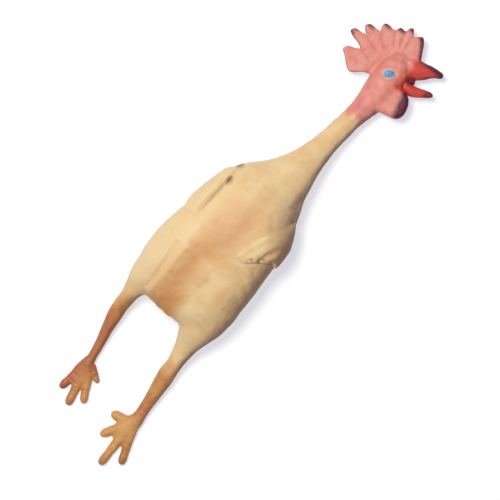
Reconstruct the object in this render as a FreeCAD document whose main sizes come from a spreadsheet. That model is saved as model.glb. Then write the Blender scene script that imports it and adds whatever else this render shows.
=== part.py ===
"""A rubber chicken: a floppy stage and juggling prop, lying on its back on a table.

The real prop is a slush-moulded latex skin stuffed with crumbed foam, with its thin parts cast solid. Here
the skin is divided where it flexes, so that each stretch is a piece of its own. A stretch starts in a ball that
sits in a spherical hollow of the one before, centred on the joint. Cross-sections are ellipses in planes of
constant Y.

Frame: +Z up, away from the table; +Y towards the head; origin on the table under the middle of the outline.
Left is -X and right is +X, as seen from above with the head at the top. Sizes are in millimetres.
"""

import FreeCAD, Part
import math
import os
from collections import namedtuple

import Sketcher
from FreeCAD import Placement, Rotation, Vector

Station = namedtuple("Station", "y x z half_width half_depth")
Joint = namedtuple("Joint", "x y z radius")
Toe = namedtuple("Toe", "root_x root_y tip_x tip_y root_radius tip_radius")

SIZES = {
    "wall": 2.5,
    "joint_gap": 0.4,
    "wing_gap": 0.4,
    "wing_thickness": 5,
    "wing_root_z": 34,
    "comb_thickness": 8,
    "comb_edge": 2.5,
    "wattle_thickness": 8.5,
    "wattle_gap": 1,
    "wattle_edge": 2,
    "head_z": 17.5,
    "eye_x": 8,
    "eye_y": 217,
    "eye_half_length": 12,
    "eye_half_width": 8,
    "eye_half_depth": 16,
    "eye_turn": 39,
    "jaw_x": 26,
    "jaw_y": 222,
    "jaw_radius": 7,
    "jaw_sweep_turn": 12,
    "plug_x": -7,
    "plug_z": 30,
    "plug_radius": 6,
    "plug_flange_radius": 9,
    "plug_flange_thickness": 1.5,
    "toe_root_z": 6.8,
    "toe_clearance": 1.2,
    "palm_radius": 6.2,
}

# The trunk's cross-sections, from the vent between the legs up to the neck, then the neck and the head.
TRUNK = {
    "vent": Station(-109, -8, 30, 22, 15),
    "rump": Station(-101, -6, 31, 42, 24),
    "loin": Station(-86, -4.5, 33, 55.5, 31),
    "belly": Station(-57, -6, 36.5, 59, 37),
    "waist": Station(-17, -5.5, 38.5, 55.5, 40),
    "breast": Station(20, -4, 37.8, 49.5, 39),
    "shoulder": Station(41, -6, 36, 43.5, 34.5),
    "collar": Station(54, -5.5, 35, 38.5, 29.5),
    "nape": Station(66, -2.5, 34, 30.5, 25.2),
    "neck_root": Station(80, 1, 32.3, 23.6, 21.5),
    "neck_a": Station(93, 2.8, 30, 18.6, 17.8),
    "neck_b": Station(106, 4.4, 27, 15.2, 14.9),
    "neck_c": Station(119, 5.6, 24, 13.1, 13),
    "neck_d": Station(132, 6.7, 21.5, 11.9, 11.8),
    "neck_e": Station(145, 7.7, 19.5, 11.5, 11.4),
    "neck_f": Station(158, 8.9, 18.2, 11.4, 11.3),
    "throat": Station(171, 10.8, 17.7, 12, 11.8),
    "gullet": Station(184, 12, 17.5, 15.5, 12.8),
    "cheek": Station(200, 12, 17.5, 18.5, 13.7),
    "brow": Station(218, 9.5, 17.5, 18.5, 13.9),
    "crown": Station(232, 8.5, 17.5, 15.5, 12),
    "scalp": Station(240, 7.5, 17.5, 9.5, 7.5),
    "poll": Station(243.5, 7, 17.5, 4, 3),
}

# The legs' cross-sections, from inside the trunk down to the root of the toes.
LEGS = {
    "left": {
        "left_hip": Station(-60, -36, 34, 26, 26),
        "left_ham": Station(-88, -41, 31, 20.5, 20.5),
        "left_thigh": Station(-102, -42.5, 28, 15.5, 15.5),
        "left_knee": Station(-114, -43.2, 23.5, 10, 10),
        "left_drum": Station(-124, -43, 19.5, 8.3, 8.3),
        "left_hock": Station(-136, -42.6, 15.5, 8.4, 8.4),
        "left_calf": Station(-147, -41, 12.8, 7.9, 7.9),
        "left_shin": Station(-162, -37.6, 10.5, 6.4, 6.4),
        "left_pastern": Station(-178, -33.6, 8.5, 5.5, 5.5),
        "left_ankle": Station(-194, -30.2, 7.5, 5.2, 5.2),
        "left_instep": Station(-206, -28, 6.6, 6.2, 5.2),
    },
    "right": {
        "right_hip": Station(-60, 27, 34, 28, 28),
        "right_ham": Station(-92, 30.5, 31, 22.5, 22.5),
        "right_thigh": Station(-107, 30.5, 28, 18, 18),
        "right_knee": Station(-120, 32.8, 24, 13.2, 13.2),
        "right_drum": Station(-134, 35, 19, 9.7, 9.7),
        "right_hock": Station(-152, 36.8, 14.6, 8.3, 8.3),
        "right_calf": Station(-162, 38.3, 12.8, 9.2, 9.2),
        "right_shin": Station(-176, 40.6, 10.5, 7.8, 7.8),
        "right_pastern": Station(-192, 42.7, 9, 6.7, 6.7),
        "right_ankle": Station(-206, 44.6, 8, 6.5, 6.5),
        "right_instep": Station(-220, 44.2, 6.8, 7.4, 5.6),
    },
}

# The joints' centres, and the radius of the hollow round each, which is wider than the limb where it turns.
JOINTS = {
    "neck_base": Joint(1.1, 81, 32.2, 29),
    "neck_middle": Joint(4.6, 108, 26.6, 19.5),
    "neck_upper": Joint(6.7, 132, 21.5, 15.6),
    "head_nod": Joint(8.8, 157, 18.2, 15),
    "left_hip_splay": Joint(-42, -88, 31, 28),
    "left_knee_bend": Joint(-43.1, -123, 20, 12.5),
    "left_hock_bend": Joint(-40.3, -150, 12.5, 10),
    "left_ankle_bend": Joint(-30.2, -194, 7.5, 7),
    "right_hip_splay": Joint(32, -92, 31, 28),
    "right_knee_bend": Joint(34.8, -133, 19.4, 13.5),
    "right_hock_bend": Joint(38.1, -161, 13, 11.5),
    "right_ankle_bend": Joint(44.6, -206, 8, 8.6),
}

# The toes in plan, from the middle of the palm to the tip: the hind toe first, then the front toes.
TOES = {
    "left": (
        Toe(-26, -203, -11, -207.5, 4.5, 3.4),
        Toe(-25, -207, -9.5, -230, 4.8, 3.8),
        Toe(-26.5, -209, -18.5, -241, 4.9, 3.9),
        Toe(-28.5, -206, -33.5, -231.5, 4.7, 3.7),
    ),
    "right": (
        Toe(43, -219, 25.5, -222, 5.1, 4.2),
        Toe(42, -224, 29.5, -242.5, 5.4, 4.6),
        Toe(44, -226, 46, -264.3, 5.3, 3.7),
        Toe(46, -222, 61, -250.5, 5.2, 3.8),
    ),
}
PALMS = {"left": (-27, -206.5), "right": (44, -222)}

# Outlines in plan. The comb runs clockwise from its root behind the neck to its root over the beak.
COMB = (
    (8, 208), (-10, 204), (-18, 198.5), (-24, 194), (-32, 198), (-43.5, 208.5), (-38, 213.5), (-30, 218),
    (-43, 223.5), (-50, 227.5), (-46, 231.5), (-34, 232.5), (-41, 238.5), (-38, 243), (-27, 242.5),
    (-28, 251), (-25, 254), (-17, 252.5), (-13, 258.5), (-8, 259), (-6, 262), (-4, 268), (0, 264.5),
    (4, 262), (8.5, 267), (13, 264), (18, 256), (22.5, 247.5), (18, 240), (8, 226),
)
WATTLE = (
    (28, 217), (35, 215.5), (39, 212), (42.5, 206), (45.5, 198), (45, 192.5), (41.5, 187.5), (34, 184),
    (26, 183), (18, 190), (18, 206),
)
WINGS = {
    "left_wing": ((-61.5, 46), (-44, 46), (-43, 20), (-43, -4), (-50, -10), (-61.5, -12)),
    "right_wing": (
        (36, 41), (29, 25), (21, 14), (16, -3), (12, -17), (15, -22), (25, -17), (34, -10), (44, -6),
        (70, -6), (70, 41),
    ),
}
# Each half of the beak from root to tip: its middle in plan, half height in plan and half width across.
BEAK = {
    "upper_beak": (
        (19, 236, 9.5, 9), (28, 239.5, 8.8, 7.2), (37, 245.3, 6.6, 5.2), (45, 249.6, 3.8, 3.2),
        (50, 251, 2, 2),
    ),
    "lower_beak": (
        (27, 217.5, 5.2, 6.5), (35, 219.5, 5, 5.4), (43, 223.8, 4.2, 4), (50, 227.3, 3.3, 3),
        (55.5, 229.2, 2.2, 2),
    ),
}

TABLE_WIDTH = 300
TABLE_LENGTH = 600
BEYOND_REACH = 160
BEYOND_SIDE = 200
UPRIGHT = Rotation(Vector(1, 0, 0), 90)
ROUND_SLACK = 0.001
BLUNTNESS = 0.92

doc = FreeCAD.newDocument("rubber_chicken")
sheet = doc.addObject("Spreadsheet::Sheet", "dims")
finished = {}


def fill_sheet():
    """Puts every driving dimension in the sheet, as a plain number under an alias."""
    cells = dict(SIZES)
    for group in (TRUNK, LEGS["left"], LEGS["right"], JOINTS):
        for name, row in group.items():
            cells.update({"%s_%s" % (name, field): value for field, value in row._asdict().items()})
    for number, (alias, value) in enumerate(cells.items(), start=1):
        cell = "A%d" % number
        sheet.set(cell, repr(value))
        sheet.setAlias(cell, alias)
    doc.recompute()


def add(kind, name, **values):
    """A document object with its properties set."""
    obj = doc.addObject(kind, name)
    for prop, value in values.items():
        setattr(obj, prop, value)
    return obj


def bind(obj, **expressions):
    """Binds properties to expressions on the sheet. place_x stands for Placement.Base.x, and so on."""
    for prop, expression in expressions.items():
        obj.setExpression(prop.replace("place_", "Placement.Base."), expression)
    return obj


def cut(name, base, tool):
    """The base without the tool."""
    return add("Part::Cut", name, Base=base, Tool=tool)


def common(name, base, tool):
    """What the base and the tool share."""
    return add("Part::Common", name, Base=base, Tool=tool)


def fuse(name, shapes):
    """All the shapes as one."""
    return add("Part::MultiFuse", name, Shapes=shapes)


def loft(name, stations, inset="0"):
    """A solid through the named cross-sections, drawn in by an inset, or let out where it is negative."""
    rings = []
    for station in stations:
        ring = add("Part::Ellipse", "%s_%s" % (name, station), Placement=Placement(Vector(), UPRIGHT))
        bind(
            ring,
            MajorRadius="dims.%s_half_width - (%s)" % (station, inset),
            MinorRadius="dims.%s_half_depth - (%s) - %g" % (station, inset, ROUND_SLACK),
            place_x="dims.%s_x" % station,
            place_y="dims.%s_y" % station,
            place_z="dims.%s_z" % station,
        )
        rings.append(ring)
    return add("Part::Loft", name, Sections=rings, Solid=True, Ruled=False)


def ball(name, joint, clearance=0):
    """The hollow round a joint, or with a clearance of 1 gap the ball that turns in it."""
    return bind(
        add("Part::Sphere", name),
        Radius="dims.%s_radius - %g * dims.joint_gap" % (joint, clearance),
        place_x="dims.%s_x" % joint,
        place_y="dims.%s_y" % joint,
        place_z="dims.%s_z" % joint,
    )


def room_for(label, joint, way, next_joint=None):
    """What a stretch may fill: its ball and all the space beyond its joint, less the next joint's hollow."""
    block = add("Part::Box", label + "_space", Length=BEYOND_SIDE, Width=BEYOND_REACH, Height=BEYOND_SIDE)
    bind(
        block,
        place_x="dims.%s_x - %g" % (joint, BEYOND_SIDE / 2),
        place_y="dims.%s_y" % joint if way > 0 else "dims.%s_y - %g" % (joint, BEYOND_REACH),
        place_z="dims.%s_z - %g" % (joint, BEYOND_SIDE / 2),
    )
    room = fuse(label + "_room", [ball(label + "_ball", joint, 1), block])
    return cut(label + "_span", room, ball(label + "_hollow", next_joint)) if next_joint else room


def stuffed(label, outer, inner, room):
    """One stretch of the stuffed skin: the skin and the foam inside it."""
    finished[label + "_skin"] = common(label + "_skin", cut(label + "_shell", outer, inner), room)
    finished[label + "_stuffing"] = common(label + "_stuffing", inner, room)


def stuffed_stretch(label, stations, joint, way, next_joint):
    """A stuffed stretch of the neck or of a leg, between its own joint and the next one."""
    outer = loft(label + "_outer", stations)
    inner = loft(label + "_inner", stations, "dims.wall")
    stuffed(label, outer, inner, room_for(label, joint, way, next_joint))


def torso():
    """The torso, flat underneath, with hollows for the neck and thighs and a filling hole in the vent."""
    stations = list(TRUNK)[: list(TRUNK).index("neck_a") + 1]
    outer = loft("torso_outer", stations)
    inner = loft("torso_inner", stations, "dims.wall")
    table = add("Part::Box", "table", Length=TABLE_WIDTH, Width=TABLE_LENGTH, Height=40)
    table.Placement.Base = Vector(-TABLE_WIDTH / 2, -TABLE_LENGTH / 2, -40)
    lining = add("Part::Box", "lining", Length=TABLE_WIDTH, Width=TABLE_LENGTH, Height=40)
    lining.Placement.Base = table.Placement.Base
    bind(lining, place_z="dims.wall - 40")
    end_wall = add("Part::Box", "end_wall", Length=TABLE_WIDTH, Width=20, Height=200)
    end_wall.Placement.Base = Vector(-TABLE_WIDTH / 2, 0, -50)
    bind(end_wall, place_y="dims.vent_y - 20 + dims.wall")
    joints = ("neck_base", "left_hip_splay", "right_hip_splay")
    hollows = fuse("torso_hollows", [ball("torso_%s" % joint, joint) for joint in joints])
    hole = add("Part::Cylinder", "vent_hole", Height=12, Placement=Placement(Vector(), UPRIGHT))
    bind(
        hole,
        Radius="dims.plug_radius",
        place_x="dims.plug_x",
        place_y="dims.vent_y + dims.wall",
        place_z="dims.plug_z",
    )
    body = cut("torso_flat", outer, table)
    cavity = cut("torso_cavity", inner, fuse("torso_walls", [lining, end_wall]))
    shell = cut("torso_shell", cut("torso_case", body, cavity), hollows)
    finished["torso_skin"] = cut("torso_skin", shell, hole)
    finished["torso_stuffing"] = cut("torso_stuffing", cavity, hollows)


def start_sketch(body, name, role):
    """A sketch on one of the body's own origin planes."""
    sketch = body.newObject("Sketcher::SketchObject", name)
    plane = next(f for f in body.Origin.OriginFeatures if f.Role == role)
    sketch.AttachmentSupport = [(plane, "")]
    sketch.MapMode = "FlatFace"
    return sketch


def disc(body, name, radius, thickness, inwards):
    """A round pad on the body's XZ plane."""
    sketch = start_sketch(body, name + "_sketch", "XZ_Plane")
    sketch.addGeometry(Part.Circle(Vector(), Vector(0, 0, 1), 5))
    sketch.addConstraint(Sketcher.Constraint("Coincident", 0, 3, -1, 1))
    size = sketch.addConstraint(Sketcher.Constraint("Radius", 0, 5))
    sketch.setExpression("Constraints[%d]" % size, radius)
    pad = body.newObject("PartDesign::Pad", name)
    pad.Profile = sketch
    pad.Reversed = inwards
    pad.setExpression("Length", thickness)


def vent_plug():
    """The latex plug glued into the filling hole: a stem through the skin and a thin flange outside it."""
    body = doc.addObject("PartDesign::Body", "vent_plug")
    disc(body, "plug_stem", "dims.plug_radius", "dims.wall", True)
    disc(body, "plug_flange", "dims.plug_flange_radius", "dims.plug_flange_thickness", False)
    finished["vent_plug"] = bind(body, place_x="dims.plug_x", place_y="dims.vent_y", place_z="dims.plug_z")


def padded(name, outline, thickness, lift, midplane=True):
    """A body whose pad follows a closed run of straight lines in plan."""
    body = doc.addObject("PartDesign::Body", name)
    sketch = start_sketch(body, name + "_sketch", "XY_Plane")
    corners = [Vector(x, y, 0) for x, y in outline]
    for start, end in zip(corners, corners[1:] + corners[:1]):
        sketch.addGeometry(Part.LineSegment(start, end))
    pad = body.newObject("PartDesign::Pad", name + "_pad")
    pad.Profile = sketch
    pad.Midplane = midplane
    pad.setExpression("Length", thickness)
    bind(body, place_z=lift)
    return body


def lobe(name, outline, thickness, lift, edge):
    """A flat moulded lobe with both its rims bevelled."""
    body = padded(name, outline, thickness, lift)
    doc.recompute()
    level = [e.Vertexes[0].Z == e.Vertexes[-1].Z for e in body.Tip.Shape.Edges]
    bevel = body.newObject("PartDesign::Chamfer", name + "_rim")
    bevel.Base = (doc.getObject(name + "_pad"), ["Edge%d" % (i + 1) for i, flat in enumerate(level) if flat])
    bevel.setExpression("Size", edge)
    return body


def beak_half(name):
    """A solid through ellipses that stand across the beak's own line."""
    sections = BEAK[name]
    rings = []
    for i, (x, y, high, wide) in enumerate(sections):
        before = sections[max(i - 1, 0)]
        after = sections[min(i + 1, len(sections) - 1)]
        turn = math.degrees(math.atan2(after[1] - before[1], after[0] - before[0]))
        ring = add("Part::Ellipse", "%s_%d" % (name, i), MajorRadius=max(high, wide) + ROUND_SLACK)
        ring.MinorRadius = min(high, wide)
        across = Rotation(Vector(0, 0, 1), turn) * Rotation(Vector(0, 1, 0), 90)
        quarter = 90 if high >= wide else 0
        ring.Placement = Placement(Vector(x, y, 0), across * Rotation(Vector(0, 0, 1), quarter))
        bind(ring, place_z="dims.head_z")
        rings.append(ring)
    return add("Part::Loft", name + "_form", Sections=rings, Solid=True, Ruled=False)


def eye(name, skull, side):
    """A painted eye that stands a little proud of one side of the head."""
    form = add("Part::Ellipsoid", name + "_form", Angle1=-90, Angle2=90, Angle3=360)
    form.Placement.Rotation = Rotation(Vector(0, 0, 1), SIZES["eye_turn"])
    bind(
        form,
        Radius1="dims.eye_half_depth",
        Radius2="dims.eye_half_length",
        Radius3="dims.eye_half_width",
        place_x="dims.eye_x",
        place_y="dims.eye_y",
        place_z="dims.head_z",
    )
    half = add("Part::Box", name + "_side", Length=60, Width=60, Height=60)
    bind(
        half,
        place_x="dims.eye_x - 30",
        place_y="dims.eye_y - 30",
        place_z="dims.head_z" if side > 0 else "dims.head_z - 60",
    )
    finished[name] = cut(name, common(name + "_half", form, half), skull)


def head():
    """The head's skin and stuffing, and the comb, beak, wattles and eyes that stand on it."""
    names = list(TRUNK)
    stations = names[names.index("neck_d") :]
    skull = loft("head_outer", stations)
    stuffed("head", skull, loft("head_inner", stations[:-1], "dims.wall"), room_for("head", "head_nod", 1))

    comb = lobe("comb_lobe", COMB, "dims.comb_thickness", "dims.head_z", "dims.comb_edge")
    finished["comb"] = cut("comb", comb, skull)

    hinge = add("Part::Cylinder", "jaw_hinge", Height=60)
    hinge.setExpression("Radius", "dims.jaw_radius")
    bind(hinge, place_x="dims.jaw_x", place_y="dims.jaw_y", place_z="dims.head_z - 30")
    sweep = add("Part::Box", "jaw_sweep", Length=60, Width=30, Height=60)
    sweep.Placement.Rotation = Rotation(Vector(0, 0, 1), SIZES["jaw_sweep_turn"])
    bind(sweep, place_x="dims.jaw_x - 2", place_y="dims.jaw_y - 11", place_z="dims.head_z - 30")

    above = fuse("upper_beak_clear", [skull, finished["comb"], hinge])
    finished["upper_beak"] = cut("upper_beak", beak_half("upper_beak"), above)
    skull_and_gap = loft("skull_and_gap", stations, "-dims.joint_gap")
    finished["lower_beak"] = cut("lower_beak", beak_half("lower_beak"), skull_and_gap)

    below = fuse("wattle_clear", [skull, hinge, sweep])
    for name, side in (("left", 1), ("right", -1)):
        lift = "dims.head_z + %d * (dims.wattle_thickness + dims.wattle_gap) / 2" % side
        form = lobe(name + "_wattle_lobe", WATTLE, "dims.wattle_thickness", lift, "dims.wattle_edge")
        finished[name + "_wattle"] = cut(name + "_wattle", form, below)
        eye(name + "_eye", skull, side)


def wing(label):
    """A wing: a flap over the torso, within its outline in plan, from its root on the flank upwards."""
    stations = list(TRUNK)[: list(TRUNK).index("neck_a") + 1]
    plan = padded(label + "_plan", WINGS[label], "60", "dims.wing_root_z", midplane=False)
    over = loft(label + "_over", stations, "-dims.wing_gap - dims.wing_thickness")
    under = loft(label + "_under", stations, "-dims.wing_gap")
    finished[label] = cut(label, common(label + "_layer", over, plan), under)


def foot(side, stations):
    """A foot: the instep, a palm and four blunt toes."""
    label = side + "_foot"
    whole = add("Part::Sphere", label + "_palm")
    whole.Placement.Base = Vector(*PALMS[side], 0)
    bind(whole, Radius="dims.palm_radius", place_z="dims.palm_radius + dims.toe_clearance")
    for number, toe in enumerate(TOES[side], start=1):
        root = Vector(toe.root_x, toe.root_y, SIZES["toe_root_z"])
        end = Vector(toe.tip_x, toe.tip_y, toe.tip_radius + SIZES["toe_clearance"])
        shaft = add("Part::Cone", "%s_toe_%d" % (side, number), Radius1=toe.root_radius, Radius2=toe.tip_radius)
        shaft.Height = (end - root).Length + toe.tip_radius
        shaft.Placement = Placement(root, Rotation(Vector(0, 0, 1), end - root))
        bind(shaft, place_z="dims.toe_root_z")
        doc.recompute()
        reach = [edge.BoundBox.Center.distanceToPoint(root) for edge in shaft.Shape.Edges]
        far = reach.index(max(reach))
        blunt = toe.tip_radius * BLUNTNESS
        rounded = add("Part::Fillet", "%s_blunt_toe_%d" % (side, number), Base=shaft)
        rounded.Edges = [(far + 1, blunt, blunt)]
        whole = add("Part::Fuse", "%s_with_toe_%d" % (label, number), Base=whole, Tool=rounded)
    room = room_for(label, side + "_ankle_bend", -1)
    instep = common(label + "_instep", loft(label + "_outer", stations), room)
    finished[label] = add("Part::Fuse", label, Base=whole, Tool=instep)


def leg(side):
    """One leg: the stuffed thigh and drumstick, the solid shank and the solid foot."""
    names = list(LEGS[side])
    ham, drum, calf, ankle = [names.index("%s_%s" % (side, part)) for part in ("ham", "drum", "calf", "ankle")]
    stuffed_stretch(side + "_thigh", names[: drum + 1], side + "_hip_splay", -1, side + "_knee_bend")
    stuffed_stretch(side + "_drumstick", names[ham : calf + 1], side + "_knee_bend", -1, side + "_hock_bend")
    shank = side + "_shank"
    room = room_for(shank, side + "_hock_bend", -1, side + "_ankle_bend")
    finished[shank] = common(shank, loft(shank + "_outer", names[drum : ankle + 1]), room)
    foot(side, names[ankle - 1 :])


def neck():
    """The neck's three stretches, from the torso up to the head."""
    names = list(TRUNK)
    joints = [joint for joint in JOINTS if "neck" in joint] + ["head_nod"]
    spans = (("collar", "neck_c"), ("neck_root", "neck_d"), ("neck_b", "neck_f"))
    for label, (first, last), joint, following in zip(("lower", "middle", "upper"), spans, joints, joints[1:]):
        stations = names[names.index(first) : names.index(last) + 1]
        stuffed_stretch("neck_" + label, stations, joint, 1, following)


def check_and_write():
    """Stops if anything failed, then writes each finished piece to its own file."""
    doc.recompute()
    failed = [obj.Name for obj in doc.Objects if "Invalid" in obj.State or "Error" in obj.State]
    if failed:
        raise SystemExit("these objects failed: %s" % ", ".join(failed))
    for label, obj in finished.items():
        obj.Label = label
        if obj.Shape.isNull() or not obj.Shape.isValid() or len(obj.Shape.Solids) != 1:
            raise SystemExit("%s is not one valid solid" % label)
    os.makedirs("parts", exist_ok=True)
    for label, obj in finished.items():
        obj.Shape.exportStep(os.path.join("parts", label + ".step"))
        box = obj.Shape.optimalBoundingBox()
        spans = (box.XMin, box.XMax, box.YMin, box.YMax, box.ZMin, box.ZMax)
        print("%-24s %8.0f mm3  spans" % (label, obj.Shape.Volume), *["%.1f" % side for side in spans])


fill_sheet()
torso()
vent_plug()
neck()
head()
wing("left_wing")
wing("right_wing")
leg("left")
leg("right")
check_and_write()
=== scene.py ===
"""Dresses the rubber chicken and lights it on a pale table.

The latex skin is one continuous form with its comb, beak, wattles, legs and feet. It is modelled whole, then divided
by flat cuts into the stretches that bend at each joint. The wings, the lower beak and the eyes are pieces of their
own, and the foam stuffing is a slimmer copy of the same form. Sizes are in millimetres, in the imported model's frame,
unless they say otherwise. The paint and the relief read the place and the normal that each point had when laid flat.
"""
from __future__ import annotations

import logging
import math
from collections.abc import Sequence
from dataclasses import dataclass, field
from enum import Enum

import bmesh
import bpy
import numpy as np
from mathutils import Matrix, Vector, noise


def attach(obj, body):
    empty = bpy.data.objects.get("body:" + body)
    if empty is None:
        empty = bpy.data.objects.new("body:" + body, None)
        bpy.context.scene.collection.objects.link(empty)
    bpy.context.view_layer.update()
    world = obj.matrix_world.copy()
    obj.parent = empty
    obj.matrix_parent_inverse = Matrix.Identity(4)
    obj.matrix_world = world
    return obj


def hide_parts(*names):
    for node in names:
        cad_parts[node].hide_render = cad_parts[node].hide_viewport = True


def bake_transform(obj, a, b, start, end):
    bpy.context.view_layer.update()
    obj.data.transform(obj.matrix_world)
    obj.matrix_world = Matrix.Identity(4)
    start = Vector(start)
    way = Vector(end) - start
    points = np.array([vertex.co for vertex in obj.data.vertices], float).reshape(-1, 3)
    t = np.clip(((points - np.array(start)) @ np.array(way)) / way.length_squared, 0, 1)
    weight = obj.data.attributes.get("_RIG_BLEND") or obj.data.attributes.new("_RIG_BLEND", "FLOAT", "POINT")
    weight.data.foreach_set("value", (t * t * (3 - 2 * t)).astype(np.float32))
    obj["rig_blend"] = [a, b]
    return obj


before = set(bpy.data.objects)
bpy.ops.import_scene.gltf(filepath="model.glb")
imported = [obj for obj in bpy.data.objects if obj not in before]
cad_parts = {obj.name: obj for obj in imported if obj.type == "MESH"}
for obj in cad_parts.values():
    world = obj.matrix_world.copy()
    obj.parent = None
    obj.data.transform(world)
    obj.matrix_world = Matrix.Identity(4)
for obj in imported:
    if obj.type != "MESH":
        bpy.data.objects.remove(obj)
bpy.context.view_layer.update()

MM = 0.001
PLACE, FACING = "laid_place", "laid_facing"
LOG = logging.getLogger("rubber_chicken")


# ---------------------------------------------------------------- shading


class Value:
    """A number that a node gives, on which ordinary arithmetic adds Math nodes."""

    def __init__(self, graph: Graph, socket: bpy.types.NodeSocket) -> None:
        """Wraps a node's output socket."""
        self.graph = graph
        self.socket = socket

    def _math(self, operation: str, left: object, right: object) -> Value:
        """Adds one Math node."""
        return Value(self.graph, self.graph.node("ShaderNodeMath", {"operation": operation}, {0: left, 1: right}))

    def __add__(self, other: object) -> Value:
        """self + other."""
        return self._math("ADD", self, other)

    __radd__ = __add__

    def __sub__(self, other: object) -> Value:
        """self - other."""
        return self._math("SUBTRACT", self, other)

    def __rsub__(self, other: object) -> Value:
        """other - self."""
        return self._math("SUBTRACT", other, self)

    def __mul__(self, other: object) -> Value:
        """self * other."""
        return self._math("MULTIPLY", self, other)

    __rmul__ = __mul__

    def __pow__(self, other: object) -> Value:
        """self ** other."""
        return self._math("POWER", self, other)

    def at_least(self, other: object) -> Value:
        """The larger of the two."""
        return self._math("MAXIMUM", self, other)


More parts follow.
